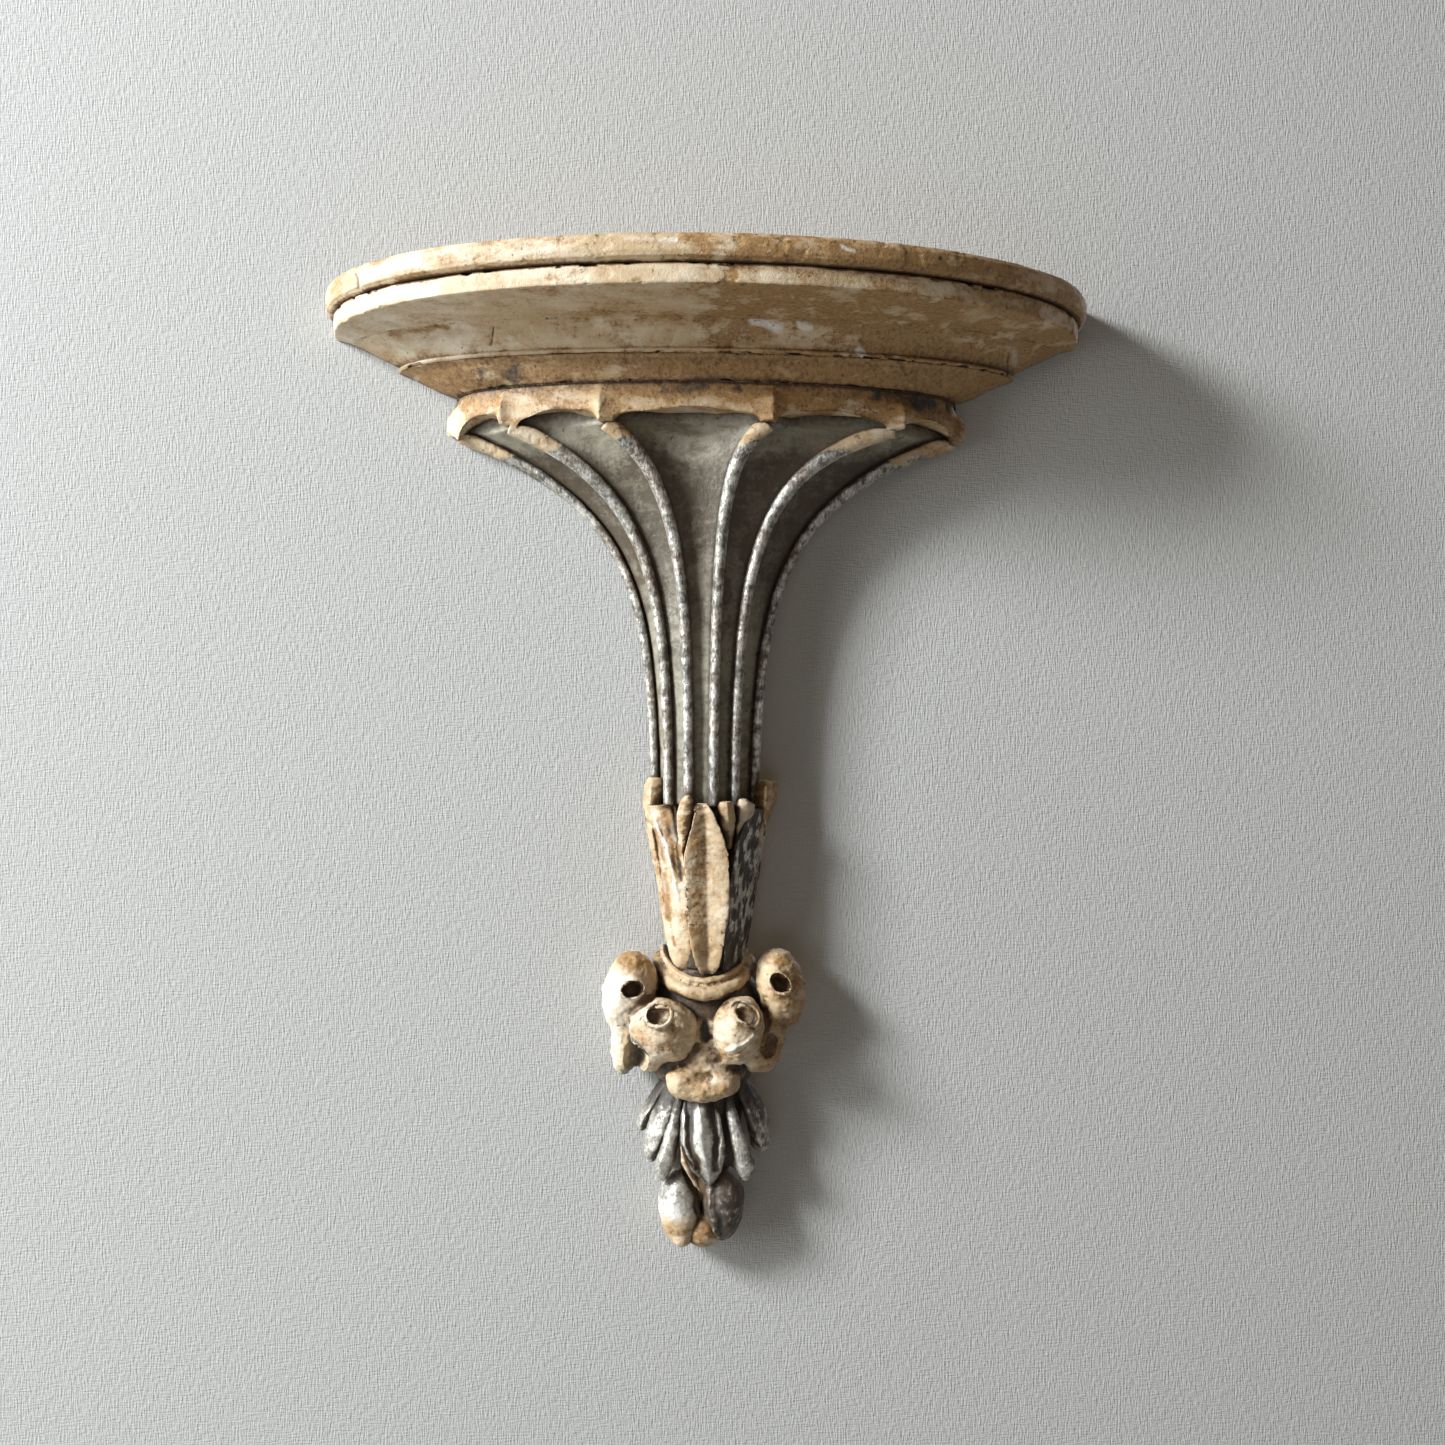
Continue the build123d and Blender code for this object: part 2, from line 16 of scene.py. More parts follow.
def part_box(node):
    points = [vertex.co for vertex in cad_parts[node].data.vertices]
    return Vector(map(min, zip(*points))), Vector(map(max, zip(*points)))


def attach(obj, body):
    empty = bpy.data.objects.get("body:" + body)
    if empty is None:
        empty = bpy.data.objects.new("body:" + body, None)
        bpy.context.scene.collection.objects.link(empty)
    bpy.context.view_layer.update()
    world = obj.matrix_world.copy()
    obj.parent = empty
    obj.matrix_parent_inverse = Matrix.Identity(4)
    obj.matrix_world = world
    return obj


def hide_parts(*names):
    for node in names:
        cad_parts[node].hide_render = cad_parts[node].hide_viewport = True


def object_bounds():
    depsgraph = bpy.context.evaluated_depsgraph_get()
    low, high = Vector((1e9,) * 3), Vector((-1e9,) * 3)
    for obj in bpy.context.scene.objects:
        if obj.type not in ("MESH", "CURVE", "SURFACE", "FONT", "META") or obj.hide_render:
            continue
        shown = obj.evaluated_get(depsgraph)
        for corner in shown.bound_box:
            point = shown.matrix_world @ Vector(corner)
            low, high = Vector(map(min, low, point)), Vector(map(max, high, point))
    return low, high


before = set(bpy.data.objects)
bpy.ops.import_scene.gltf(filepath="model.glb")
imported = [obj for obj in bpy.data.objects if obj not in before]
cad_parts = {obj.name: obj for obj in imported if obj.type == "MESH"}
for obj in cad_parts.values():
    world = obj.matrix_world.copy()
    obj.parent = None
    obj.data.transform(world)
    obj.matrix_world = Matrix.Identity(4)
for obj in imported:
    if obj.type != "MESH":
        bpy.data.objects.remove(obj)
cad_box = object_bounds()
MM = 0.001


def node_box(node):
    """Low and high corners of a CAD node, in mm."""
    low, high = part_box(node)
    return np.array(low) / MM, np.array(high) / MM


# ---------------------------------------------------------------- noise
def noise(points, cell, seed=0):
    """Smooth noise from -1 to 1, with bumps about one cell across."""
    table = np.random.default_rng(seed).random((32, 32, 32)) * 2 - 1
    place = points / cell + 100.5
    low = np.floor(place).astype(int)
    share = place - low
    share = share * share * (3 - 2 * share)
    total = np.zeros(len(points))
    for corner in np.ndindex(2, 2, 2):
        at = (low + corner) % 32
        weight = np.prod(np.where(corner, share, 1 - share), axis=1)
        total += weight * table[at[:, 0], at[:, 1], at[:, 2]]
    return total


def rough(points, cell, seed=0, octaves=3):
    """Noise with finer noise added, each octave half as strong."""
    return sum(
        noise(points, cell / 2**octave, seed + octave) / 2**octave for octave in range(octaves)
    )


def ease(value, start, end):
    """0 before start, 1 after end and a smooth step between; start may be the larger."""
    share = np.clip((value - start) / (end - start), 0, 1)
    return share * share * (3 - 2 * share)


# ---------------------------------------------------------------- carving
MARKS = ("stain", "white", "silver", "dark", "putty", "hollow")
WANDER = 0.8                # a stroke strays this far from its line, in mm


def read(items, name, width, kind):
    """An attribute of a mesh's vertices, edges or normals, one row for each."""
    values = np.empty(len(items) * width, kind)
    items.foreach_get(name, values)
    return values.reshape(-1, width)


class Carving:
    """A mesh being carved and painted: points and marks held as arrays, in mm."""

    def __init__(self, piece):
        self.piece = piece
        self.points = read(piece.data.vertices, "co", 3, float) / MM
        starts, ends = read(piece.data.edges, "vertices", 2, int).T
        self.from_ends = np.concatenate([starts, ends])
        self.to_ends = np.concatenate([ends, starts])
        degree = np.bincount(self.from_ends, minlength=len(self.points))
        self.degree = np.maximum(degree, 1)[:, None]
        self.marks = {mark: np.zeros(len(self.points)) for mark in MARKS}
        self.refresh()

    def refresh(self):
        """Write the points to the mesh and read the normals back."""
        mesh = self.piece.data
        mesh.vertices.foreach_set("co", (self.points * MM).ravel())
        mesh.update()
        self.normals = read(mesh.vertex_normals, "vector", 3, np.float32).astype(float)

    def average(self, points):
        """Mean of each point's neighbours."""
        return np.stack([
            np.bincount(self.from_ends, column[self.to_ends], minlength=len(points))
            for column in points.T
        ], axis=1) / self.degree

    def smooth(self, rounds, where=1.0):
        """Draw each point halfway to its neighbours' mean, as far as where allows."""
        where = np.asarray(where).reshape(-1, 1)
        for _ in range(rounds):
            self.points += (self.average(self.points) - self.points) * 0.5 * where
        self.refresh()

    def push(self, amount):
        """Move each point out along its normal, or in where the amount is negative."""
        self.points += self.normals * np.asarray(amount).reshape(-1, 1)
        self.refresh()

    def reach(self, line):
        """Distance of each point from a line of (x, z) points, seen from the front."""
        flat = self.points[:, (0, 2)] + WANDER * np.stack(
            [noise(self.points, 4, 71), noise(self.points, 4, 72)], axis=1)
        best = np.full(len(flat), 1e9)
        for start, end in zip(line, line[1:]):
            start, run = np.array(start, float), np.subtract(end, start)
            share = np.clip(((flat - start) @ run) / max(run @ run, 1e-9), 0, 1)
            best = np.minimum(best, np.linalg.norm(flat - start - share[:, None] * run, axis=1))
        return best

    def front(self):
        """1 where the surface faces the front, 0 where it faces away."""
        return ease(-self.normals[:, 1], -0.05, 0.35)

    def stroke(self, line, width, push=0.0, **marks):
        """Carve a line seen from the front: push moves it towards the viewer if positive."""
        if len(line) == 1:
            line = [line[0], line[0]]
        reach = self.reach(line) + 0.4 * width * noise(self.points, 1.5 * width + 1, 73)
        amount = np.exp(-(reach / width) ** 2) * self.front()
        if push:
            self.points[:, 1] -= amount * push
        self.mark(**{name: amount * strength for name, strength in marks.items()})

    def measure_hollows(self, rounds=6, scale=3.0):
        """Mark how far each point lies in a hollow (positive) or on an edge (negative)."""
        blurred = self.points.copy()
        for _ in range(rounds):
            blurred += (self.average(blurred) - blurred) * 0.6
        depth = np.sum((blurred - self.points) * self.normals, axis=1)
        self.marks["hollow"] += np.clip(depth * scale, -1, 1)

    def patches(self, cell, seed, start, end):
        """1 in ragged patches about a cell across, 0 between them."""
        return ease(rough(self.points, cell, seed), start, end)

    def mark(self, **marks):
        """Add to marks, by name."""
        for name, amount in marks.items():
            self.marks[name] += amount

    def finish(self, material, slot):
        """Keep the points inside the CAD box and write the points and marks."""
        low, high = [np.array(corner) / MM for corner in cad_box]
        self.points = np.clip(self.points, low, high)
        self.refresh()
        mesh = self.piece.data
        for mark, values in self.marks.items():
            layer = mesh.attributes.new(mark, "FLOAT", "POINT")
            layer.data.foreach_set("value", values.astype(np.float32))
        mesh.materials.clear()
        mesh.materials.append(material)
        mesh.polygons.foreach_set("use_smooth", [True] * len(mesh.polygons))
        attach(self.piece, "root")


def linked(name, data):
    """New object in the scene, with a mesh, a light or a camera as its data."""
    thing = bpy.data.objects.new(name, data)
    bpy.context.scene.collection.objects.link(thing)
    return thing


def remeshed(name, node, voxel):
    """Copy of a CAD node with even faces, a voxel across."""
    piece = linked(name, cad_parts[node].data.copy())
    remesh = piece.modifiers.new("even", "REMESH")
    remesh.mode = "VOXEL"
    remesh.voxel_size = voxel * MM
    view = bpy.context.evaluated_depsgraph_get()
    even = bpy.data.meshes.new_from_object(piece.evaluated_get(view))
    piece.modifiers.clear()
    piece.data = even
    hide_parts(node)
    return Carving(piece)


# ---------------------------------------------------------------- sculpting in a block
EYE_LIP = 1.3               # radius of the lip round a fruit's eye
LEAF_DEPTH = 6.0            # a leaf goes this far in behind its middle surface
FAR = 99.0                  # field of an empty block


class Block:
    """A block of clay on an even grid: a field, in mm, that is negative inside the form."""

    def __init__(self, low, high, cell=0.45):
        self.low, self.cell = np.array(low, float), cell
        axes = [np.arange(start, end + cell, cell) for start, end in zip(low, high)]
        self.x, self.y, self.z = np.meshgrid(*axes, indexing="ij", sparse=True)
        self.field = np.full([len(axis) for axis in axes], FAR)

    def add(self, form, blend=0.8):
        """Join a form on, with a fillet of about the blend."""
        share = np.clip(0.5 + 0.5 * (self.field - form) / blend, 0, 1)
        self.field = self.field + (form - self.field) * share - blend * share * (1 - share)

    def cut(self, form, blend=0.6):
        """Take a form away, with a rounded lip of about the blend."""
        share = np.clip(0.5 - 0.5 * (self.field + form) / blend, 0, 1)
        self.field = self.field + (-form - self.field) * share + blend * share * (1 - share)

    def egg(self, centre, radii, lean=0.0):
        """Ellipsoid leaned in the wall's plane, in degrees, its top to the right."""
        x, y, z = self.x - centre[0], self.y - centre[1], self.z - centre[2]
        c, s = cos(radians(lean)), sin(radians(lean))
        x, z = x * c - z * s, x * s + z * c
        near = np.sqrt((x / radii[0]) ** 2 + (y / radii[1]) ** 2 + (z / radii[2]) ** 2)
        steep = np.sqrt((x / radii[0] ** 2) ** 2 + (y / radii[1] ** 2) ** 2
                        + (z / radii[2] ** 2) ** 2)
        return near * (near - 1) / np.maximum(steep, 1e-6)

    def eye(self, centre, facing, wide, high, slant, deep):
        """Oval pit with a raised lip; slant turns its long way, in degrees."""
        facing = Vector(facing).normalized()
        level = facing.cross(Vector((0, 0, 1))).normalized()
        level = Matrix.Rotation(radians(slant), 3, facing) @ level
        x, y, z = self.x - centre[0], self.y - centre[1], self.z - centre[2]
        across, up, out = [
            x * axis.x + y * axis.y + z * axis.z for axis in (level, facing.cross(level), facing)
        ]
        ring = np.sqrt((across / wide) ** 2 + (up / high) ** 2)
        rim = np.sqrt(((ring - 1.15) * min(wide, high)) ** 2 + (out - 0.2) ** 2)
        self.add(rim - EYE_LIP, 2.0)
        self.cut((np.sqrt(ring**2 + (out / deep) ** 2) - 1) * min(wide, high), 0.8)

    def rod(self, points, radii):
        """Round bar through points, with a radius at each."""
        best = np.full(self.field.shape, FAR)
        for (start, end, r0, r1) in zip(points, points[1:], radii, radii[1:]):
            run = np.subtract(end, start)
            x, y, z = self.x - start[0], self.y - start[1], self.z - start[2]
            share = np.clip((x * run[0] + y * run[1] + z * run[2]) / (run @ run), 0, 1)
            gap = np.sqrt((x - share * run[0]) ** 2 + (y - share * run[1]) ** 2
                          + (z - share * run[2]) ** 2)
            best = np.minimum(best, gap - (r0 + (r1 - r0) * share))
        return best

    def leaf(self, spine, fold, thick=1.8):
        """Leaf on a spine of (level, x, y, half width, turn in degrees).

        Its edges stand out by the fold, and thick is how far it stands out between them.
        """
        spine = sorted(spine)
        levels = [row[0] for row in spine]
        z = self.z.ravel()
        x, y, half, turn = [
            np.interp(z, levels, [row[column] for row in spine])[None, None, :]
            for column in (1, 2, 3, 4)
        ]
        c, s = np.cos(np.radians(turn)), np.sin(np.radians(turn))
        across = (self.x - x) * c + (self.y - y) * s
        out = (self.x - x) * s - (self.y - y) * c
        share = across / half
        # the fold and the thickness fade with the leaf's width towards its ends
        out = out - fold * np.minimum(np.abs(share), 1.2) * np.minimum(half / 6, 1)
        reach = np.where(out > 0, thick, LEAF_DEPTH) * np.minimum(half / 4, 1)
        form = (np.sqrt(share**2 + (out / reach) ** 2) - 1) * np.minimum(half, reach)
        beyond = np.maximum(levels[0] - self.z, self.z - levels[-1])
        return np.maximum(form, beyond)

    def skin(self, name, *nodes):
        """Mesh of the form's surface, cut flat at the wall, that stands for CAD nodes."""
        field = np.maximum(self.field, self.y)
        for axis in range(3):
            for side in (0, -1):
                edge = [slice(None)] * 3
                edge[axis] = side
                field[tuple(edge)] = np.maximum(field[tuple(edge)], 0.5 * self.cell)
        cells = tuple(size - 1 for size in field.shape)
        corner = {
            step: field[tuple(slice(s, s + n) for s, n in zip(step, cells))]
            for step in np.ndindex(2, 2, 2)
        }
        filled = sum((values < 0).astype(int) for values in corner.values())
        active = (filled > 0) & (filled < 8)
        number = np.full(cells, -1)
        number[active] = np.arange(active.sum())
        values = {step: at[active] for step, at in corner.items()}
        middle, crossings = np.zeros((active.sum(), 3)), np.zeros(active.sum())
        for first in values:
            for axis in range(3):
                if first[axis]:
                    continue
                second = tuple(step + (axis == at) for at, step in enumerate(first))
                a, b = values[first], values[second]
                crossed = (a < 0) != (b < 0)
                share = np.where(crossed, a / np.where(crossed, a - b, 1), 0)
                place = np.array(first, float)[None, :].repeat(len(a), 0)
                place[:, axis] += share
                middle += place * crossed[:, None]
                crossings += crossed
        points = (np.argwhere(active) + middle / crossings[:, None]) * self.cell + self.low
        faces = []
        for axis in range(3):
            ahead = [slice(1, -1)] * 3
            behind = [slice(1, -1)] * 3
            ahead[axis], behind[axis] = slice(1, None), slice(None, -1)
            a, b = field[tuple(behind)] < 0, field[tuple(ahead)] < 0
            for mask, flip in ((a & ~b, False), (~a & b, True)):
                at = np.argwhere(mask) + [0 if side == axis else 1 for side in range(3)]
                u, v = [side for side in range(3) if side != axis]
                ring = []
                for step_u, step_v in ((0, 0), (1, 0), (1, 1), (0, 1)):
                    cell = at.copy()
                    cell[:, u] -= step_u
                    cell[:, v] -= step_v
                    ring.append(number[tuple(cell.T)])
                quad = np.stack(ring, 1)
                faces.append(quad[:, ::-1] if flip != (axis == 1) else quad)
        mesh = bpy.data.meshes.new(name)
        mesh.from_pydata((points * MM).tolist(), [], np.concatenate(faces).tolist())
        piece = linked(name, mesh)
        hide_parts(*nodes)
        return Carving(piece)


# ---------------------------------------------------------------- materials
class Nodes:
    """Short words for building a node tree."""

    def __init__(self, tree):
        self.tree = tree

    def put(self, socket, value):
        if isinstance(value, bpy.types.NodeSocket):
            self.tree.links.new(value, socket)
        else:
            socket.default_value = value

    def node(self, kind, output=0, inputs=None, **settings):
        """Add a node with its inputs and settings, and give one of its outputs."""
        node = self.tree.nodes.new("ShaderNode" + kind)
        for name, value in settings.items():
            setattr(node, name, value)
        for name, value in (inputs or {}).items():
            self.put(node.inputs[name], value)
        return node.outputs[output]

    def math(self, operation, first, second):
        return self.node("Math", 0, {0: first, 1: second}, operation=operation)

    def either(self, share, first, second, output):
        """Show the first shader where the share is 0 and the second where it is 1."""
        self.put(self.tree.nodes[output].inputs["Surface"],
                 self.node("MixShader", 0, {0: share, 1: first, 2: second}))


class Paint(Nodes):
    """A new material's node tree."""

    def __init__(self, name):
        self.material = bpy.data.materials.new(name)
        self.material.use_nodes = True
        super().__init__(self.material.node_tree)
        self.shader = self.tree.nodes["Principled BSDF"]
        self.place = self.node("TexCoord", "Object")

    def times(self, first, second):
        return self.math("MULTIPLY", first, second)

    def plus(self, *terms):
        total = terms[0]
        for term in terms[1:]:
            total = self.math("ADD", total, term)
        return total

    def rest(self, share):
        """What a share leaves of 1."""
        return self.math("SUBTRACT", 1.0, share)

    def capped(self, *terms):
        """Sum of terms held between 0 and 1."""
        return self.node("Clamp", 0, {"Value": self.plus(*terms)})

    def noise(self, size, detail, roughness, stretch=(1, 1, 1)):
        """Noise from 0 to 1 with bumps about a size in mm, longer along an axis if stretched."""
        place = self.node("Mapping", 0, {
            "Vector": self.place, "Scale": [1 / (size * MM * part) for part in stretch],
        })
        return self.node("TexNoise", "Fac", {
            "Vector": place, "Scale": 1.0, "Detail": detail, "Roughness": roughness,
        })

    def step(self, value, start, end, low=0.0, high=1.0):
        return self.node("MapRange", "Result", {
            "Value": value, "From Min": start, "From Max": end, "To Min": low, "To Max": high,
        }, interpolation_type="SMOOTHSTEP")

    def backward(self):
        """1 where the surface faces the wall, else 0."""
        normal = self.node("NewGeometry", "Normal")
        return self.step(self.node("SeparateXYZ", "Y", {0: normal}), 0.6, 0.9)

    def crevice(self, distance):
        """0 on open surface, near 1 deep in a crevice narrower than a distance in mm."""
        open_share = self.node("AmbientOcclusion", "AO", {"Distance": distance * MM}, samples=8)
        return self.rest(open_share)

    def wood(self, grain):
        """Colour of bare wood by the noise of its grain."""
        return self.mix(self.step(grain, 0.35, 0.65), WOOD, WOOD_DARK)

    def mark(self, name):
        return self.node("Attribute", "Fac", attribute_name=name)

    def mix(self, share, *colours):
        """Colour between two, by the share of the second."""
        first, second = [(*c, 1.0) if isinstance(c, tuple) else c for c in colours]
        return self.node("Mix", 2, {"Factor": share, 6: first, 7: second}, data_type="RGBA")

    def blend(self, share, first, second):
        """Number between two, by the share of the second."""
        return self.node("Mix", 0, {"Factor": share, 2: first, 3: second})

    def cover(self, colour, roughness, metallic=0.0):
        for name, value in (("Base Color", colour), ("Roughness", roughness),
                            ("Metallic", metallic)):
            self.put(self.shader.inputs[name], value)

    def bump(self, height, depth):
        normal = self.node("Bump", "Normal", {
            "Strength": 1.0, "Distance": depth * MM, "Height": height,
        })
        self.put(self.shader.inputs["Normal"], normal)


CREAM = (0.560, 0.435, 0.275)
PALE = (0.720, 0.640, 0.500)
OCHRE = (0.370, 0.212, 0.082)
UMBER = (0.082, 0.044, 0.019)
DEEP_UMBER = (0.036, 0.021, 0.011)
CHALK_AND_HIGHLIGHT = (0.760, 0.735, 0.680)
SOOT_AND_SHADE = (0.020, 0.015, 0.011)
PUTTY = (0.150, 0.130, 0.090)
PUTTY_LIGHT = (0.330, 0.305, 0.235)
PUTTY_DIRT_AND_SHADE = (0.062, 0.043, 0.025)
SILVER = (0.470, 0.440, 0.375)
SILVER_BRIGHT = (0.840, 0.825, 0.775)
TARNISH = (0.050, 0.042, 0.031)
WOOD = (0.360, 0.235, 0.130)
WOOD_DARK = (0.200, 0.120, 0.062)
STEEL = (0.460, 0.440, 0.400)
STEEL_DARK = (0.300, 0.270, 0.230)


def aged_and_shaded(name):
    """Worn gilder's finish: gesso, putty or silver by the marks, with stain, chips and soot, and
    painted shade and highlights where the crevices and marks carry them.
    """
    n = Paint(name)
    hollow = n.mark("hollow")
    inside = n.math("MAXIMUM", hollow, 0.0)
    edge = n.math("MAXIMUM", n.times(hollow, -1.0), 0.0)
    broad = n.noise(24, 5, 0.55)
    patchy = n.noise(4.5, 6, 0.62, stretch=(2.4, 2.4, 1))
    fine = n.noise(1.6, 4, 0.68)
    grain = n.noise(0.45, 2, 0.6)
    streaks = n.noise(0.8, 4, 0.70, stretch=(1, 1, 3))

    def share_of(mark, start, end, ragged=0.5):
        """How much of a mark's paint shows, with ragged edges."""
        return n.step(n.plus(n.mark(mark), n.times(fine, ragged)), start, end)

    # grime and painted shade gather in crevices, found by ambient occlusion, in patches
    grime_and_shade = n.times(n.crevice(5.0), n.step(patchy, 0.30, 0.62, 0.65, 1.45))
    grime_and_shade = n.plus(grime_and_shade, n.times(inside, 0.35))
    stained = n.times(n.mark("stain"), n.step(patchy, 0.32, 0.60, 0.50, 1.15))
    # gesso, handled and dusty: soft brown clouds, brown pores, and umber in the crevices that is
    # partly dirt and partly painted shade
    stain = n.capped(stained, n.step(n.times(broad, patchy), 0.14, 0.42, 0.0, 0.42),
                     n.step(n.times(patchy, fine), 0.17, 0.42, 0.0, 0.30),
                     n.step(grime_and_shade, 0.15, 0.75, 0.0, 0.85))
    gesso = n.mix(stain, n.mix(n.step(broad, 0.36, 0.62), CREAM, PALE), OCHRE)
    dirt_and_shade = n.plus(n.times(stain, fine), n.times(grime_and_shade, 0.75))
    gesso = n.mix(n.step(dirt_and_shade, 0.36, 0.92, 0, 0.95), gesso, UMBER)
    # putty-coloured flutes, darkened by dirt and by painted shade in the crevices
    putty = n.mix(n.step(patchy, 0.30, 0.58), PUTTY, PUTTY_LIGHT)
    dirt_and_shade = n.plus(n.times(fine, 0.9), grime_and_shade, stained)
    putty = n.mix(n.step(dirt_and_shade, 0.50, 1.40, 0, 0.95), putty, PUTTY_DIRT_AND_SHADE)
    # rubbed silver: bright on the edges, black where it has worn through or was never rubbed, and
    # darkened in the crevices by painted shade
    silver = n.mix(n.step(n.plus(fine, n.times(edge, 0.25)), 0.40, 0.66), SILVER, SILVER_BRIGHT)
    rubbed_and_shaded = n.plus(n.times(patchy, 0.35), n.times(fine, 0.25), n.times(streaks, 0.40),
                    n.times(edge, -0.10), n.times(n.plus(grime_and_shade, n.mark("dark")), 0.40))
    dulled = n.step(rubbed_and_shaded, 0.45, 0.66, 0, 0.95)
    silver = n.mix(dulled, silver, n.mix(n.step(broad, 0.45, 0.6), TARNISH, UMBER))
    silver_share = share_of("silver", 0.55, 0.95)
    white_share = n.times(share_of("white", 0.62, 1.10, 0.6), n.step(grime_and_shade, 0.5, 0.2, 0.0, 0.85))
    specks = n.plus(n.noise(1.8, 2, 0.7), n.times(stain, 0.05))
    colour = gesso
    # laid over the gesso in turn: putty; silver; white chips and painted highlights; umber specks;
    # deep umber as painted shade in the deepest crevices; black for cracks, soot and painted shade
    for share, paint in (
        (share_of("putty", 0.55, 0.95), putty), (silver_share, silver), (white_share, CHALK_AND_HIGHLIGHT),
        (n.step(specks, 0.66, 0.75, 0, 0.8), UMBER),
        (n.step(grime_and_shade, 0.70, 1.15, 0, 0.8), DEEP_UMBER), (share_of("dark", 0.5, 1.2), SOOT_AND_SHADE),
    ):
        colour = n.mix(share, colour, paint)
    # the back was never finished
    back = n.backward()
    back_grain = n.noise(2.5, 4, 0.6, stretch=(1, 1, 14))
    metal = n.times(n.times(silver_share, n.rest(dulled)),
                    n.times(n.rest(back), n.rest(white_share)))
    n.cover(
        n.mix(back, colour, n.wood(back_grain)),
        n.blend(metal, n.step(fine, 0.3, 0.7, 0.42, 0.66), n.step(fine, 0.3, 0.7, 0.28, 0.46)),
        n.times(metal, 0.7),
    )
    n.bump(n.plus(n.times(fine, 0.7), n.times(grain, 0.3)), 0.4)
    return n.material


def bare_wood(name):
    n = Paint(name)
    grain = n.noise(3, 4, 0.6, stretch=(14, 1, 1))
    n.cover(n.wood(grain), n.step(grain, 0.3, 0.7, 0.6, 0.8))
    n.bump(grain, 0.3)
    return n.material


def steel(name):
    n = Paint(name)
    scratch = n.noise(0.5, 3, 0.6, stretch=(1, 1, 20))
    n.cover(n.mix(n.step(scratch, 0.35, 0.7), STEEL, STEEL_DARK),
            n.step(scratch, 0.3, 0.7, 0.34, 0.5), metallic=1.0)
    n.bump(scratch, 0.05)
    return n.material


finish_material = aged_and_shaded("aged_finish_and_shade")
wood_material = bare_wood("bare_wood")
steel_material = steel("steel")


# ---------------------------------------------------------------- mouldings
cleat_low, cleat_high = node_box("back_cleat")
NOTCH_GAP = 0.1             # round the cleat
COLUMN_STEP, ROW_STEP = 0.55, 0.5   # between the points of a moulding, round it and down it


def profile_rows(corners):
    """Rows of (half width, depth, level) along a profile, no more than a row step apart."""
    rows = []
    for start, end in zip(corners, corners[1:]):
        start, end = np.array(start, float), np.array(end, float)
        count = max(1, int(np.ceil(np.linalg.norm((end - start)[1:]) / ROW_STEP)))
        rows += [start + (end - start) * step / count for step in range(count)]
    return rows + [np.array(corners[-1], float)]


def moulding(name, node, corners, notched=True):
    """Half-oval moulding lofted over a profile, with room for the cleat cut in its back."""
    rows = profile_rows(corners)
    half_w, depth = max(row[0] for row in rows), max(row[1] for row in rows)
    columns = int(pi * (half_w + depth) / 2 / COLUMN_STEP)
    turns = np.linspace(0, pi, columns)
    # even spacing along the oval
    lengths = np.hypot(half_w * np.sin(turns), depth * np.cos(turns))
    walked = np.concatenate([[0], np.cumsum((lengths[1:] + lengths[:-1]) / 2)])
    turns = np.interp(np.linspace(0, walked[-1], columns), walked, turns)
    back = []
    if notched:
        side, floor = cleat_high[0] + NOTCH_GAP, cleat_low[1] - NOTCH_GAP
        back = [(-side, 0), (-side, floor), (side, floor), (side, 0)]
    points = []
    for row_w, row_depth, level in rows:
        points += [(row_w * cos(turn), -row_depth * sin(turn), level) for turn in turns]
        points += [(x, y, level) for x, y in back]
    around = columns + len(back)
    faces = [tuple(range(around))]
    for row in range(len(rows) - 1):
        low = row * around
        for column in range(around):
            after = (column + 1) % around
            faces.append((low + column, low + around + column, low + around + after, low + after))
    last = (len(rows) - 1) * around
    faces.append(tuple(range(last + around - 1, last - 1, -1)))
    mesh = bpy.data.meshes.new(name)
    mesh.from_pydata([Vector(point) * MM for point in points], [], faces)
    shaped = bmesh.new()
    shaped.from_mesh(mesh)
    bmesh.ops.triangulate(shaped, faces=[face for face in shaped.faces if len(face.verts) > 4])
    bmesh.ops.recalc_face_normals(shaped, faces=shaped.faces)
    shaped.to_mesh(mesh)
    shaped.free()
    piece = linked(name, mesh)
    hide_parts(node)
    return Carving(piece)


board_low, board_high = node_box("top_board")
upper_low, upper_high = node_box("upper_moulding")
cove_low, cove_high = node_box("cove_moulding")
bed_low, bed_high = node_box("bed_moulding")
collar_low, collar_high = node_box("scalloped_collar")
# half width and depth of each
BOARD = (board_high[0], -board_low[1])
BAND = (upper_high[0], -upper_low[1])
THROAT = (cove_high[0], -cove_low[1])
NECK = (bed_high[0], -bed_low[1])
COLLAR = (collar_high[0], -collar_low[1])
QUIRK_IN, QUIRK_RISE = 0.7, 1.0     # groove under the board, worn up into it
BEAD_RISE = 3.0             # bead above the foot of the hollow
BEAD_H, BEAD_OUT = 2.3, 0.6
NECKING = 2.4               # the bed and the collar's top are drawn in under the bead


def rim(size, *rows):
    """Corners of a profile inset from a (half width, depth), each at a level."""
    return [(size[0] - inset, size[1] - inset, level) for inset, level in rows]


def worn(carving, seed, chips=0.5, wave=0.25):
    """Soft hand-carved waviness, with paint flaked off in plateaus, deeper along the edges."""
    points = carving.points
    outer = carving.front()
    carving.measure_hollows()
    edge = np.clip(-carving.marks["hollow"], 0, 1)
    flakes = ease(rough(points, 11, seed) + 0.9 * edge * rough(points, 4, seed + 9), 0.42, 0.50)
    carving.mark(white=0.16 * flakes * ease(noise(points, 16, seed + 4), 0.0, 0.5))
    carving.mark(stain=0.35 * flakes * ease(noise(points, 16, seed + 4), 0.1, -0.5))
    amount = wave * noise(points, 18, seed + 1) + 0.12 * noise(points, 3.5, seed + 2)
    carving.push((amount - wave - flakes * chips * (0.4 + edge)) * outer)


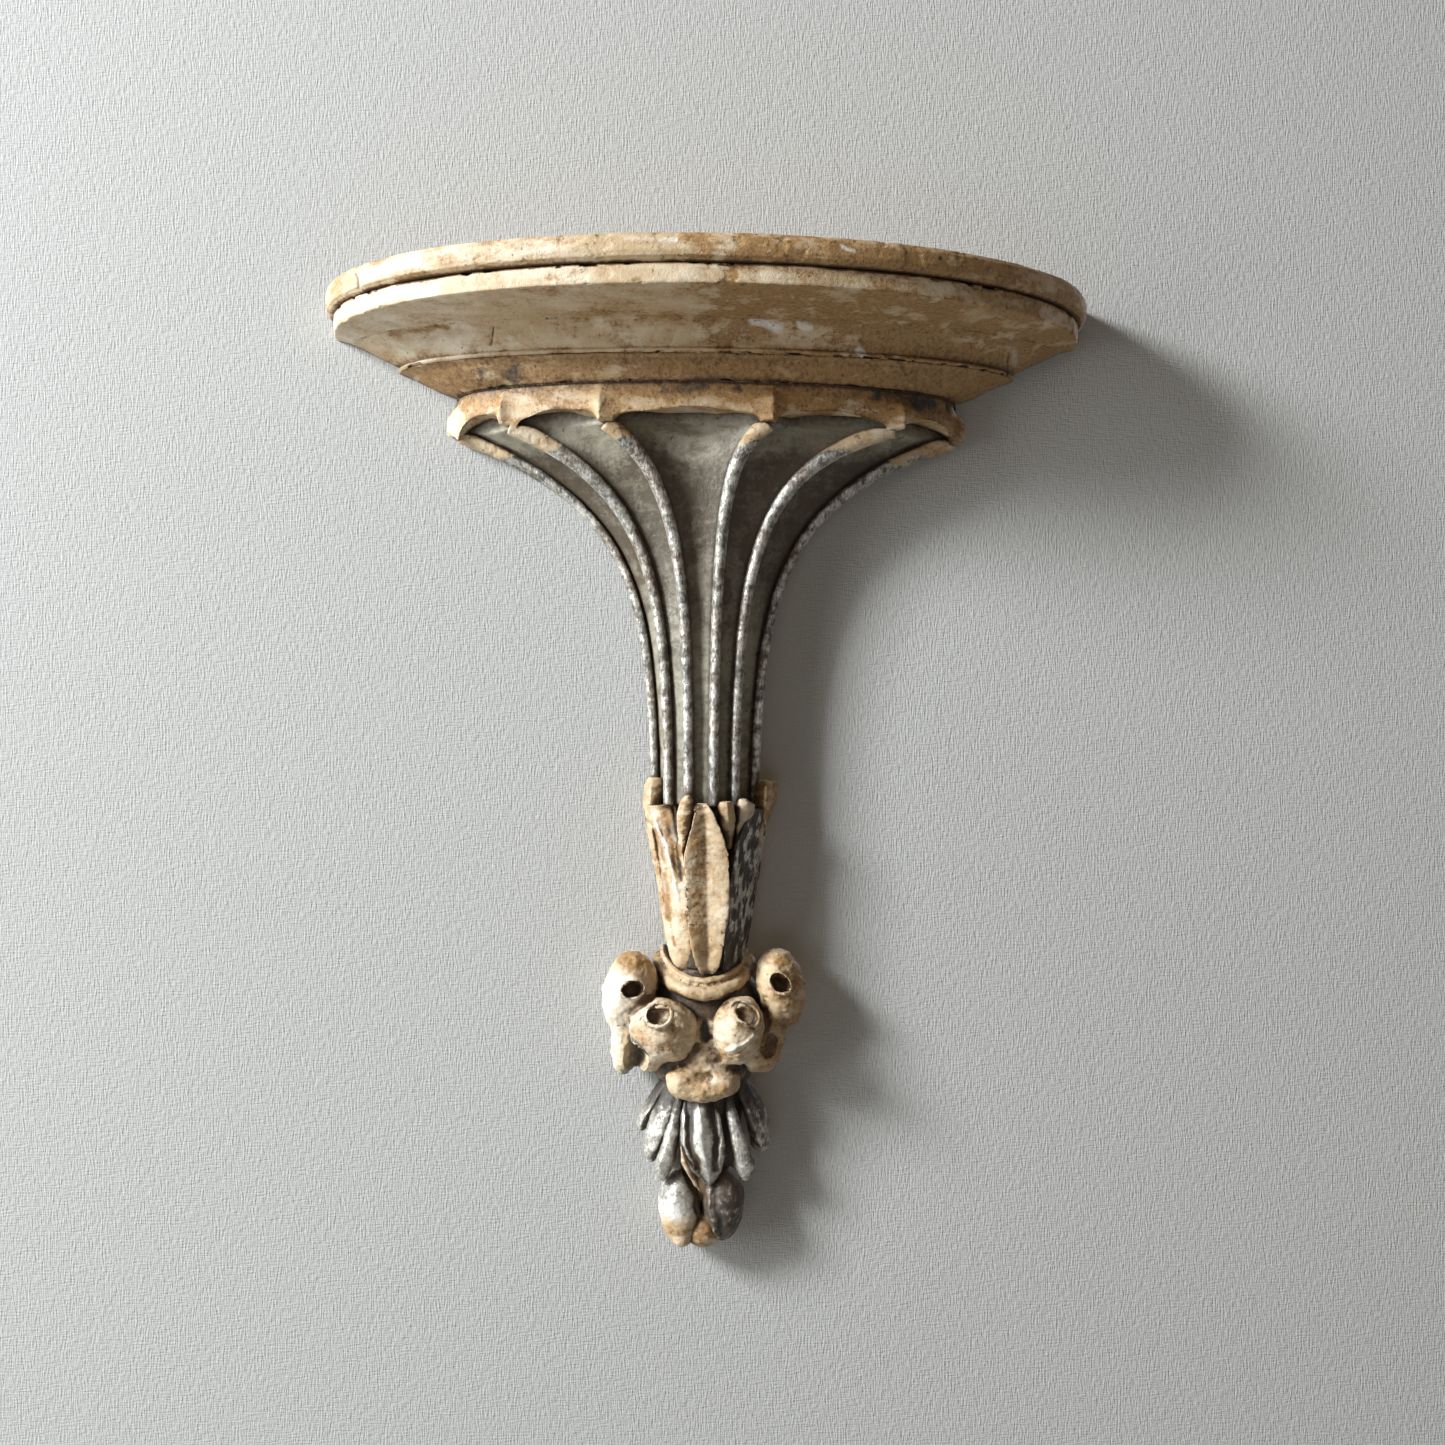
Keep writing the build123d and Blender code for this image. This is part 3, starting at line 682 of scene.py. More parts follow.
top, board_foot = board_high[2], board_low[2] + QUIRK_RISE
board = moulding("top_board_skin", "top_board", rim(
    BOARD, (12.0, top), (3.0, top), (1.2, top - 0.5), (0.2, top - 2.2), (0.0, top - 4.0),
    (0.1, board_foot + 3.0), (0.7, board_foot + 1.2), (2.0, board_foot + 0.2),
) + rim(BAND, (QUIRK_IN, board_foot)), notched=False)
band_foot, slope_foot = upper_low[2] + 1.8, upper_low[2]
upper = moulding("upper_moulding_skin", "upper_moulding", rim(
    BAND, (QUIRK_IN, board_foot - 0.1), (0.5, board_foot - 0.4), (0.1, board_foot - 1.0),
    (0.0, board_foot - 2.2), (0.1, band_foot + 1.2), (0.4, band_foot + 0.3), (1.2, band_foot),
) + [
    (BAND[0] - 3.4, BAND[1] - 5.0, band_foot - 0.4),
    (THROAT[0] + 1.5, THROAT[1] + 12, slope_foot + 0.7),
] + rim(THROAT, (0.0, slope_foot), (3.0, slope_foot)))
bead_top = cove_low[2] + BEAD_RISE
bead_foot = bead_top - BEAD_H
hollow_rows = [
    # straight down the slope at the shelf's ends, hollow at its front
    (THROAT[0] + (NECK[0] + 0.3 - THROAT[0]) * (1 - cos(turn)),
     THROAT[1] + (NECK[1] - 0.2 - THROAT[1]) * sin(turn),
     slope_foot + (bead_top + 0.3 - slope_foot) * (1 - cos(turn)))
    for turn in np.linspace(0, pi / 2, 12)
]
cove = moulding("cove_moulding_skin", "cove_moulding", rim(THROAT, (1.0, slope_foot + 1.0))
                + hollow_rows + rim(
    NECK, (0.3, bead_top), (-0.2, bead_top - 0.4), (-BEAD_OUT, bead_top - 0.9),
    (-BEAD_OUT, bead_foot + 0.7), (0.2, bead_foot),
))
bed = moulding("bed_moulding_skin", "bed_moulding", rim(
    NECK, (0.3, bead_foot + 0.1), (1.0, bead_foot - 0.3),
) + [
    (NECK[0] - 5.0, NECK[1] - 2.0, bead_foot - 1.8),
    (COLLAR[0] + 6.0, COLLAR[1] - 1.4, bed_low[2] + 3.0),
] + rim(COLLAR, (NECKING, bed_low[2])))
bed.mark(stain=0.5, dark=0.4 * bed.patches(9, 77, 0.0, 0.6))

# chips, stains and cracks that stand out, each along a line of (x, z) points
board.stroke([(-125, 23), (-105, 25)], 3.8, white=0.6)
board.stroke([(-129.6, 26), (-129, 20)], 0.7, push=-0.8, dark=0.7)
board.stroke([(79.9, 24.5)], 0.9, dark=1.2)
board.stroke([(44, 25.5), (48, 24)], 1.6, white=0.8)
board.stroke([(-30, 26), (-12, 25)], 1.5, white=0.5)
cove.stroke([(-121, 7), (-104, 6), (-84, 7)], 3.0, push=-0.6, white=0.45)
cove.stroke([(-82, 3.5), (-80.5, 8)], 0.6, push=-0.4, dark=0.9)
cove.stroke([(-122, 9.5), (-110, 8.5), (-98, 9)], 0.7, stain=0.8, dark=0.4)
cove.stroke([(15, 9.2), (26, 8.0)], 2.2, push=-0.3, white=0.7)
cove.stroke([(33, 8.6), (37, 8.0)], 1.2, white=0.7)
cove.stroke([(56, 1.5), (59, -1.5)], 1.8, push=-0.2, white=0.8)
cove.stroke([(60, 5), (85, 3.5), (108, 3)], 4.0, stain=1.0, dark=0.25)
cove.stroke([(119, 7), (122, 0)], 2.6, push=-0.5, white=0.5)
cove.stroke([(116.5, 6), (118, -1)], 0.6, push=-0.3, dark=0.9)
bed.stroke([(-100, -7), (-72, -9)], 3.5, dark=0.5)
for number, (carving, soil) in enumerate(((board, 0.2), (upper, -0.1), (cove, 0.0), (bed, 0.3))):
    worn(carving, 10 + 20 * number)
    carving.mark(stain=soil)
    x = carving.points[:, 0]
    # browner towards the right and on the undersides: partly stain, partly painted shade of the
    # side away from the light and under the overhangs
    rightward = ease(x + 20 * noise(carving.points, 30, 3), -80, 50)
    under = ease(-carving.normals[:, 2], 0.4, 0.95)
    carving.mark(stain=0.1 + 0.45 * rightward + under * (0.2 + 0.3 * rightward))
    carving.mark(stain=0.25 * rough(carving.points * (0.4, 1, 1), 9, 5))
    carving.finish(finish_material, "gesso")


# ---------------------------------------------------------------- fluted stem and ribs
RIBS = [f"rib_{number}" for number in range(1, 7)]
STEM_FOOT = node_box("fluted_core")[0][2]
STEM_REACH = 7.0            # the stem and its ribs run on down behind the leaf tips
RIB_OUT = 0.35              # paint has thickened the ribs
GESSO_ENDS = (-31, -36)     # levels between which the ribs' gesso gives way to silver
RIB_VOXEL, BODY_VOXEL, CORE_VOXEL = 0.4, 0.5, 0.7


def reach_down(carving):
    """Draw the lower end down behind the leaf tips."""
    z = carving.points[:, 2]
    carving.points[:, 2] -= STEM_REACH * ease(z, STEM_FOOT + 12, STEM_FOOT)


ribs = [remeshed(node + "_skin", node, RIB_VOXEL) for node in RIBS]
for rib in ribs:
    rib.smooth(1)
rib_points = np.concatenate([rib.points[::3] for rib in ribs])
rib_tree = KDTree(len(rib_points))
for number, point in enumerate(rib_points):
    rib_tree.insert(point, number)
rib_tree.balance()


def from_ribs(carving):
    """Distance from each point to the nearest rib, in mm."""
    return np.array([rib_tree.find(point)[2] for point in carving.points])


for number, rib in enumerate(ribs):
    worn(rib, 150 + number, chips=0.25, wave=0.12)
    points = rib.points
    rib.push(RIB_OUT - 0.15 * ease(noise(points, 1.7, 170 + number), 0.2, 0.7))
    rib.marks["white"] *= 0
    # the gesso of the collar runs down over the ribs' heads
    rib.mark(silver=ease(points[:, 2] + 5 * noise(points, 7, 180 + number), *GESSO_ENDS))
    rib.mark(stain=0.25, dark=0.12 + 0.15 * rib.patches(2.2, 190 + number, -0.4, 0.6))
    reach_down(rib)
    rib.finish(finish_material, "silver_leaf")

stem = remeshed("fluted_core_skin", "fluted_core", BODY_VOXEL)
stem.smooth(2)
worn(stem, 120, chips=0.25, wave=0.2)
near = from_ribs(stem)
stem.push(-0.55 * np.exp(-((near - 0.5) / 0.9) ** 2))
stem.marks["white"] *= 0
# painted shade: darker in the grooves beside the ribs
stem.mark(dark=0.55 * np.exp(-(near / 1.1) ** 2), putty=1)
# painted shade cast by the collar: browner on the flutes below their pale tops, fading out lower
# down
height = stem.points[:, 2] + 8 * noise(stem.points, 14, 121)
stem.mark(stain=0.75 * ease(height, -120, -60) * ease(height, -26, -42))
stem.mark(stain=0.3 * stem.patches(7, 123, 0.0, 0.7))
stem.mark(dark=0.4 * stem.patches(3.2, 124, 0.55, 0.8))
reach_down(stem)
stem.finish(finish_material, "flutes")

# collar: cusps stand out at the ribs and hollows lie between them
RIM_HALF_W, RIM_DEPTH = COLLAR[0] - 2.6, COLLAR[1] - 2.6
CUSP_TURNS = np.radians([-88, -50, -23, 13, 46, 88])
CUSP_OUT, HOLLOW_IN = 2.6, 1.7
LIP_DROP = 3.0              # the arches between the cusps hang lower than they were cut
collar = remeshed("scalloped_collar_skin", "scalloped_collar", BODY_VOXEL)
collar.smooth(2)
turn = np.arctan2(collar.points[:, 0] / RIM_HALF_W, -collar.points[:, 1] / RIM_DEPTH)
after = np.clip(np.searchsorted(CUSP_TURNS, turn), 1, len(CUSP_TURNS) - 1)
share = np.clip((turn - CUSP_TURNS[after - 1]) / (CUSP_TURNS[after] - CUSP_TURNS[after - 1]), 0, 1)
cusp = np.abs(2 * share - 1)
drop = ease(collar.points[:, 2], collar_high[2], collar_high[2] - 9)
out = (CUSP_OUT * cusp**7 - HOLLOW_IN * (1 - cusp**2)) * drop - NECKING * (1 - drop)
facing = np.stack([np.sin(turn) / RIM_HALF_W, -np.cos(turn) / RIM_DEPTH, 0 * turn], axis=1)
facing /= np.linalg.norm(facing, axis=1)[:, None]
outer = ease(np.sum(collar.normals * facing, axis=1), -0.2, 0.5)
collar.points += facing * (out * outer)[:, None]
collar.points[:, 2] -= LIP_DROP * drop * ease(cusp, 0.95, 0.35)
collar.refresh()
collar.smooth(12, where=ease(cusp, 0.6, 0.8) * ease(collar.points[:, 2], collar_low[2] + 9,
                                                    collar_low[2] + 6))
worn(collar, 90, chips=0.35, wave=0.2)
height = collar.points[:, 2] + 2 * noise(collar.points, 6, 96)
# darker and browner up under the bed between the cusps: dirt and painted shade
dirt_and_shade = ease(height, collar_low[2] + 9, collar_high[2] - 3) * ease(cusp, 0.95, 0.7)
collar.mark(stain=0.3 + 0.4 * collar.patches(12, 95, -0.1, 0.6) + 0.7 * dirt_and_shade)
collar.mark(dark=0.5 * dirt_and_shade * collar.patches(6, 97, -0.3, 0.4))
collar.mark(white=0.2 * ease(cusp, 0.9, 1.0))
collar.stroke([(66, -13), (92, -16)], 4.5, stain=1.0, dark=0.6)
collar.stroke([(-22, -13.5), (-4, -13.5)], 3.5, stain=0.8, dark=0.2)
collar.stroke([(4, -14), (44, -13.5)], 4.0, stain=0.8, dark=0.3)
collar.finish(finish_material, "gesso")


# ---------------------------------------------------------------- calyx
def dressed(carving, seed, silver=0.0, stain=0.0, white=0.0, dark=0.0, chips=0.2, wave=0.25):
    """Hand-carved surface, painted all over in one mix of finishes."""
    worn(carving, seed, chips, wave)
    carving.marks["white"] *= 0.5
    points = carving.points
    carving.push(0.3 * rough(points, 6, seed + 20) - 0.3 + 0.12 * noise(points, 1.6, seed + 30))
    patchy_dark = dark * ease(rough(points * (1, 1, 0.35), 1.6, seed + 40), -0.5, 0.7)
    carving.mark(silver=silver, stain=stain, white=white, dark=patchy_dark)
    return carving


def carved_leaf(node, look, seed, cell, silver):
    """Leaf carved on its spine; a look holds the spine, the leaf's form and its paint."""
    spine = look.pop("spine")
    paint = {mark: look.pop(mark, 0.0) for mark in ("stain", "white", "dark")}
    silver = look.pop("silver", silver)
    half = max(row[3] for row in spine) + 8
    low = (min(row[1] for row in spine) - half, min(row[2] for row in spine) - 8, spine[-1][0] - 2)
    high = (max(row[1] for row in spine) + half, 1, spine[0][0] + 4)
    clay = Block(low, high, cell)
    clay.add(clay.leaf(spine, **look), 0.2)
    return dressed(clay.skin(node + "_skin", node), seed, silver, **paint)


LEAVES = {
    "front_leaf": dict(fold=3.3, stain=0.2, white=0.15, spine=[
        (-168.5, -1.8, -25.8, 2.2, 0), (-171.5, -1, -25.4, 3.8, 0), (-177, -0.3, -23.8, 5.4, 0),
        (-182, 0, -22.8, 7, 0), (-189, 0.2, -22.2, 8.8, 0), (-200, 0.7, -21.2, 8.8, 0),
        (-212, 0.8, -19.8, 8.2, 0), (-223, 0.9, -18, 6.8, 0), (-232, 1, -16, 5, 0),
        (-236, 1.2, -14.5, 2.6, 0),
    ]),
    "left_leaf": dict(fold=-1.5, thick=2.6, stain=0.1, white=0.35, spine=[
        (-170, -19.5, -14.5, 7.5, -52), (-174, -19, -14, 9.5, -52), (-182, -17, -13, 10.5, -53),
        (-195, -14.8, -12, 10, -52), (-210, -12.8, -11, 9, -50), (-225, -10.8, -10, 7.5, -48),
        (-236, -9.5, -9, 5, -45),
    ]),
    # the right leaf is dark: tarnished silver and painted shade of the side away from the light
    "right_leaf": dict(fold=0.8, thick=2.2, silver=0.9, stain=0.2, dark=0.75, spine=[
        (-171, 19.5, -15.5, 3, 52), (-176, 18.5, -15, 7, 52), (-184, 17.3, -14, 9.5, 53),
        (-197, 15, -12.5, 10, 52), (-211, 13, -11, 9, 50), (-225, 11.5, -10, 7.5, 48),
        (-236, 10, -9, 5, 45),
    ]),
    "left_side_leaf": dict(fold=0.6, thick=2.4, stain=0.3, white=0.2, spine=[
        (-159.5, -20.5, -6, 3, -75), (-163, -21.5, -6, 6, -78), (-170, -22, -5, 8, -82),
        (-182, -20.5, -4, 8, -85), (-200, -17, -3, 7, -86), (-225, -13.5, -2, 5, -88),
    ]),
    "right_side_leaf": dict(fold=1.2, thick=2.2, stain=0.6, spine=[
        (-160.5, 24.5, -8.5, 4, 62), (-163, 25, -8, 6.5, 66), (-169, 24.6, -7, 8, 72),
        (-178, 22, -6, 8, 80), (-195, 18.5, -4, 7, 84), (-225, 14, -2, 5, 88),
    ]),
    "left_sprig": dict(fold=-1, thick=2.2, stain=0.3, white=0.2, spine=[
        (-165.5, -7.2, -24.5, 1.2, -20), (-168, -7.8, -24, 3, -20), (-173, -8.4, -22.8, 3.6, -20),
        (-180, -8.8, -20.5, 2.6, -20), (-188, -9.2, -18.5, 1.2, -20),
    ]),
    "front_sprig": dict(fold=-1.4, thick=2.4, stain=0.25, white=0.3, spine=[
        (-168, 7.6, -24.8, 2.4, 14), (-170, 7.6, -24.8, 3.4, 14), (-175, 8.2, -23.4, 3.6, 16),
        (-181, 9, -21, 2.6, 18), (-187, 9.4, -18.5, 1.2, 20),
    ]),
    "right_sprig": dict(fold=-1, thick=2.2, stain=0.2, white=0.5, spine=[
        (-167, 14.5, -22, 1.6, 34), (-169.5, 16.2, -20.5, 4.2, 38), (-174, 15.8, -19, 4, 38),
        (-180, 14, -18, 2.8, 36), (-190, 12.4, -17, 1.2, 34),
    ]),
}
calyx = {
    node: carved_leaf(node, look, 200 + 7 * number, 0.4, silver=0.0)
    for number, (node, look) in enumerate(LEAVES.items())
}


def hoop(half_w, depth, level, slope):
    """Points round the front of an oval, lower towards the front."""
    return [
        (half_w * sin(turn), -depth * cos(turn), level - slope * cos(turn))
        for turn in np.radians(np.arange(-100, 101, 20))
    ]


clay = Block((-26, -28, -254), (26, 1, -222), 0.4)
for radius, half_w, depth, level in ((3.2, 17.7, 18.6, -232.2), (1.7, 16.4, 17.0, -227.6)):
    points = hoop(half_w, depth, level, 10.5)
    clay.add(clay.rod(points, [radius] * len(points)), 0.4)
# painted shade: the front leaf's left half browner, as it faces away from the light
calyx["front_leaf"].stroke([(-3.0, -180), (-3.4, -225)], 3.4, stain=0.45)
left = calyx["left_leaf"]
# painted shade: brown and darker in the hollow between the left leaf's ridge and the front leaf;
# painted highlight: whiter along the ridge
left.stroke([(-15.5, -168), (-12.8, -181)], 3.4, push=-2.0, stain=1.3, dark=0.15)
left.stroke([(-12.8, -179), (-10.2, -197)], 2.2, push=-1.6, stain=1.3, dark=0.15)
left.stroke([(-13.0, -170), (-11.0, -184), (-9.4, -199)], 0.7, push=-0.5, dark=0.8)
left.stroke([(-20.6, -172), (-17.2, -182), (-12.6, -196), (-10.4, -207)], 0.9, push=0.6,
            white=0.25)
for line in ([(-21, -172), (-18.5, -190), (-14, -215)], [(-17, -180), (-15, -200), (-12, -225)]):
    left.stroke(line, 0.8, push=-0.5, stain=0.5, dark=0.3)
ring = clay.skin("neck_ring_skin", "neck_ring")
dressed(ring, 300, stain=0.3, white=0.1)


# ---------------------------------------------------------------- fruit
clay = Block((-42, -40, -292), (42, 1, -226))
for centre, radii, lean, blend in (
    ((0, -6, -258), (20, 10, 18), 0, 0.8),
    ((0, -14, -261.5), (12, 8.5, 11), 0, 2.0),
    # outer fruit, each with a lobe below it
    ((-29, -11, -243.5), (11.2, 10.5, 17), 10, 1.5),
    ((-30, -9.5, -262), (6.5, 8, 14), 8, 3.0),
    ((30, -10.5, -241.5), (10, 10, 16), -12, 1.5),
    ((25.5, -13, -261), (6.2, 8, 14), 8, 2.0),
    # inner fruit
    ((-15.5, -18.5, -256.5), (14.6, 13, 12.4), 18, 1.2),
    ((-21, -14, -267), (7, 8, 7), 30, 3.0),
    ((12.8, -19.5, -256.5), (10.6, 12.5, 13.8), 14, 1.2),
    # chin between them, and the right husk
    ((1.5, -17, -270.5), (9.5, 7.5, 5), 0, 2.5),
    ((-8.5, -17.5, -276.5), (6.8, 8.5, 6.8), -20, 2.2),
    ((7.2, -17.5, -276), (7.2, 8.5, 6.4), 20, 2.2),
    ((-0.5, -18, -279), (10.5, 8.5, 6.2), 0, 2.0),
    ((20, -14, -266.5), (6, 7.5, 8), 0, 2.5),
):
    clay.add(clay.egg(centre, radii, lean), blend)
clay.cut(clay.rod([(-0.8, -27, -246), (0, -25, -251), (0.2, -23, -256), (0.3, -23, -258.6)],
                  [1.2, 1.5, 2.2, 2.0]), 0.6)
clay.add(clay.egg((0.4, -19, -266), (5, 6, 4.5)), 2.0)
clay.cut(clay.egg((-26.3, -19, -267.5), (4.4, 8, 8.4), lean=14), 0.8)
clay.cut(clay.egg((25.2, -21.5, -262.5), (2.8, 3.4, 5.2), lean=8), 1.0)
clay.eye((-17.4, -30.0, -248.6), (-0.22, -0.85, 0.45), 4.2, 3.8, 0, deep=3.0)
clay.eye((15.6, -30.4, -248.0), (0.28, -0.85, 0.42), 4.4, 3.2, -38, deep=5.0)
clay.eye((-27.6, -21.0, -240.5), (0.1, -1, 0.25), 3.8, 2.9, 10, deep=4.0)
clay.eye((29.0, -20.2, -238.2), (-0.1, -1, 0.3), 3.8, 2.8, -40, deep=5.0)
fruit = clay.skin(
    "carved_fruit", "inner_left_fruit", "inner_right_fruit", "outer_left_fruit",
    "outer_right_fruit", "chin_lobe", "right_husk", "left_husk",
)
dressed(fruit, 320, stain=0.1, white=0.3, wave=0.45)
fruit.push(0.4 * rough(fruit.points, 3.2, 341) - 0.15)
# painted light and shade: browner towards the right and whiter towards the left, as the light
# falls from the left; the patches between are stain
fruit.mark(stain=0.5 * ease(fruit.points[:, 0], 16, 34))
fruit.mark(stain=0.25 * fruit.patches(9, 345, 0.0, 0.6))
fruit.mark(white=0.25 * ease(fruit.points[:, 0], -6, -26))
fruit.measure_hollows(10, 2.0)
fruit.stroke([(-0.4, -248), (0.1, -257)], 1.5, dark=0.8)
fruit.stroke([(0.2, -256), (0.3, -259)], 2.0, dark=1.2)
fruit.stroke([(-1.5, -275), (0, -279)], 3.2, push=-0.5, stain=0.2)
fruit.stroke([(1, -277), (8, -279)], 5.0, stain=0.3, dark=0.1, white=-0.3)
fruit.stroke([(-30, -229), (-20, -232)], 4.5, stain=0.7, white=-0.4)
fruit.stroke([(-22, -256), (-10, -262)], 5.0, stain=0.3, white=-0.2)
fruit.stroke([(-16, -240), (-7, -245), (0, -249), (8, -244.5), (15, -240)], 1.8, push=-0.6,
             dark=1.1)
fruit.stroke([(-26.3, -261), (-26.6, -268), (-27.4, -274)], 4.2, putty=1.2, white=-0.8)
fruit.stroke([(25.2, -262.5)], 3.4, stain=1.4, white=-0.6)
fruit.stroke([(8, -262), (14, -259.5), (19, -256.5)], 0.7, push=0.7, white=0.4)
fruit.stroke([(8, -264.5), (14, -262), (19, -259)], 0.7, push=-0.6, dark=0.5)


# ---------------------------------------------------------------- tuft and bud
TUFT = {
    "tuft_front_leaf": dict(fold=-1.6, thick=2.8, white=0.05, spine=[
        (-278, -2, -15.5, 4.5, 0), (-284, -2, -18, 6, 0), (-291, -1.2, -19.5, 8, 0),
        (-299, -0.7, -20, 9.1, 2), (-306, 0.4, -19.5, 8.5, 4), (-312, 1.6, -18, 5.8, 4),
        (-316.8, 2.4, -16, 2, 4),
    ]),
    "tuft_left_leaf": dict(fold=-1.2, thick=2.8, spine=[
        (-279, -8, -13, 2, -24), (-287, -10.6, -16, 2.2, -26), (-293, -11.9, -17, 2.8, -28),
        (-300, -13.2, -18, 3.4, -30), (-307, -15.4, -17.4, 4, -34), (-312, -16.5, -16, 3.4, -36),
        (-316, -17.2, -14.5, 1.8, -38),
    ]),
    "tuft_right_leaf": dict(fold=-1.2, thick=2.8, spine=[
        (-279, 8.8, -13, 1.8, 26), (-286, 10.4, -15.5, 2.2, 28), (-293, 12, -17, 2.8, 30),
        (-301, 14.6, -17.4, 3.8, 32), (-308, 16.4, -16.4, 4.4, 36), (-313, 16.8, -15, 3.4, 38),
        (-316, 16.6, -14, 1.8, 38),
    ]),
    "tuft_left_side_leaf": dict(fold=-0.8, thick=2.4, spine=[
        (-278, -11.5, -10, 3.4, -40), (-284, -14, -12, 4.6, -42), (-290, -16.6, -13, 5.4, -44),
        (-298, -19.4, -13, 5.4, -46), (-304.5, -20.9, -12, 4.2, -50), (-310, -21.2, -10, 1.8, -52),
    ]),
    "tuft_right_side_leaf": dict(fold=-0.6, thick=2, silver=0.85, stain=0.4, dark=0.12, spine=[
        (-276, 14, -8, 4, 60), (-285, 19.4, -9.5, 6.5, 60), (-294, 22.8, -9, 7, 62),
        (-302, 24.2, -8, 5.5, 64), (-306.5, 24.2, -7, 2.5, 66),
    ]),
    "tuft_left_back_leaf": dict(fold=-0.5, thick=2, spine=[
        (-275, -12, -5, 3, -75), (-283, -18.5, -6, 5, -76), (-291, -23.2, -5.5, 5, -78),
        (-296, -25, -5, 3.6, -80), (-299.5, -25.4, -4.5, 1.5, -80),
    ]),
}
UNDER_CHIN = (-294, -282)   # levels between which the leaves darken
tuft = {}
for number, (node, look) in enumerate(TUFT.items()):
    leaf = carved_leaf(node, look, 400 + 7 * number, 0.35, silver=1.0)
    shade = rough(leaf.points, 2.0, 404 + 7 * number)
    # painted shade: the leaves darker up under the chin and on their right side, away from the
    # light
    leaf.mark(dark=0.55 * ease(leaf.points[:, 2] + 2 * shade, *UNDER_CHIN))
    leaf.mark(dark=0.3 * ease(leaf.points[:, 0], 10, 20) * ease(shade, -0.6, 0.5))
    tuft[node] = leaf

# the front leaf has a dome between two grooves, and rims; the dome is whitened as a painted
# highlight
front = tuft["tuft_front_leaf"]
for groove, ridge in ((-5.0, -7.6), (4.6, 7.2)):
    front.stroke([(0.8 * groove - 1.6, -281), (groove - 0.8, -292), (groove + 0.2, -301),
                  (0.6 * groove + 1.2, -310)], 1.3, push=-1.5, dark=0.55)
    front.stroke([(0.8 * ridge - 1.6, -284), (ridge - 0.8, -293), (ridge + 0.2, -301),
                  (0.62 * ridge + 1.2, -309)], 1.0, push=0.7, dark=-0.3)
front.stroke([(-1.4, -287), (-1.2, -296), (-0.2, -304)], 3.0, push=0.8, dark=-0.5, white=0.7)
tuft["tuft_right_side_leaf"].stroke([(22, -300), (24, -305)], 4.5, stain=0.9, dark=-0.2)
clay = Block((-14, -26, -322), (4, -8, -296), 0.3)
clay.add(clay.rod([(-8.6, -20.5, -301), (-7.6, -21.5, -306), (-4.9, -20.5, -312),
                   (-2.6, -19, -316), (-1.2, -17.5, -319)], [0.8, 1.4, 1.2, 1.3, 0.7]), 0.2)
tuft["tuft_sprig"] = dressed(clay.skin("tuft_sprig_skin", "tuft_sprig"), 460, 0.4, 0.3, 0.2)

clay = Block((-22, -26, -344), (22, 1, -308), 0.35)
clay.add(clay.egg((-9.2, -8.5, -327.5), (8.6, 10.5, 15.2), lean=-3), 0.2)
clay.add(clay.egg((-8.0, -12.5, -338.6), (4.2, 4.5, 3.6)), 1.2)
clay.add(clay.egg((-7.6, -9, -330), (7.8, 9.5, 11)), 1.2)
clay.cut(clay.egg((9.0, -11, -327), (9.6, 14, 17)), 0.5)
petal_left = dressed(clay.skin("left_petal_skin", "left_petal"), 470)
height = petal_left.points[:, 2] + 2 * noise(petal_left.points, 5, 471)
petal_left.mark(silver=ease(height, -332, -327))
petal_left.mark(white=0.6 * ease(height, -333, -329) * ease(height, -319, -325)
                * ease(petal_left.points[:, 0], -5, -9))
petal_left.mark(stain=0.35 * ease(height, -329, -334))
clay = Block((-22, -26, -344), (22, 1, -308), 0.35)
clay.add(clay.egg((7.6, -8.5, -326.3), (9.0, 10.5, 14.8), lean=3), 0.2)
clay.cut(clay.egg((-10.4, -11, -327), (9.8, 14, 17)), 0.5)
petal_right = dressed(clay.skin("right_petal_skin", "right_petal"), 480, 1.0, 0.0, 0.0)
# the right petal darkened all over: tarnish, and painted shade of the side away from the light
petal_right.mark(dark=0.3 + 0.35 * petal_right.patches(1.8, 481, -0.5, 0.7))
petal_right.stroke([(1.6, -316), (2.6, -326), (4.4, -336), (7, -340)], 1.0, push=0.8, dark=-0.2)
petal_right.stroke([(4.2, -315), (5.4, -326), (7.2, -336)], 1.1, push=-0.7, dark=0.5)
for shift in (0, 3.0):
    petal_left.stroke([(-7 + shift, -314), (-3.4 + shift, -321), (-2.2 + shift, -331)], 0.7,
                      push=-0.7, dark=0.8)
clay = Block((-14, -22, -344.5), (14, 1, -322), 0.4)
clay.add(clay.egg((0.2, -9, -335.5), (8.6, 8, 7.9)), 0.2)
bud = dressed(clay.skin("bud_core_skin", "bud_core"), 490, 0.2, 0.8, 0.0)

for part in (*calyx.values(), *tuft.values(), ring, fruit, petal_left, petal_right, bud):
    part.finish(finish_material, "silver_leaf")

CORE_SLIM = 0.25            # share that the cores are drawn in by at the top
CORE_OFF_BACK = 0.6         # and how far they leave the back there
for node in ("calyx_core", "fruit_core", "tuft_core"):
    core = remeshed(node + "_skin", node, CORE_VOXEL)
    core.smooth(1)
    # drawn in under the stem's foot and off its back
    drawn_in = ease(core.points[:, 2], STEM_FOOT - 15, STEM_FOOT - 5)
    core.points[:, :2] *= (1 - CORE_SLIM * drawn_in)[:, None]
    core.points[:, 1] -= CORE_OFF_BACK * drawn_in
    # dark and stained: painted shade in the gaps where the cores show between leaves, fruit and
    # tuft, with stain
    core.mark(dark=0.7, stain=1.0, silver=0.5 * (node != "fruit_core"))
    core.finish(finish_material, "silver_leaf")

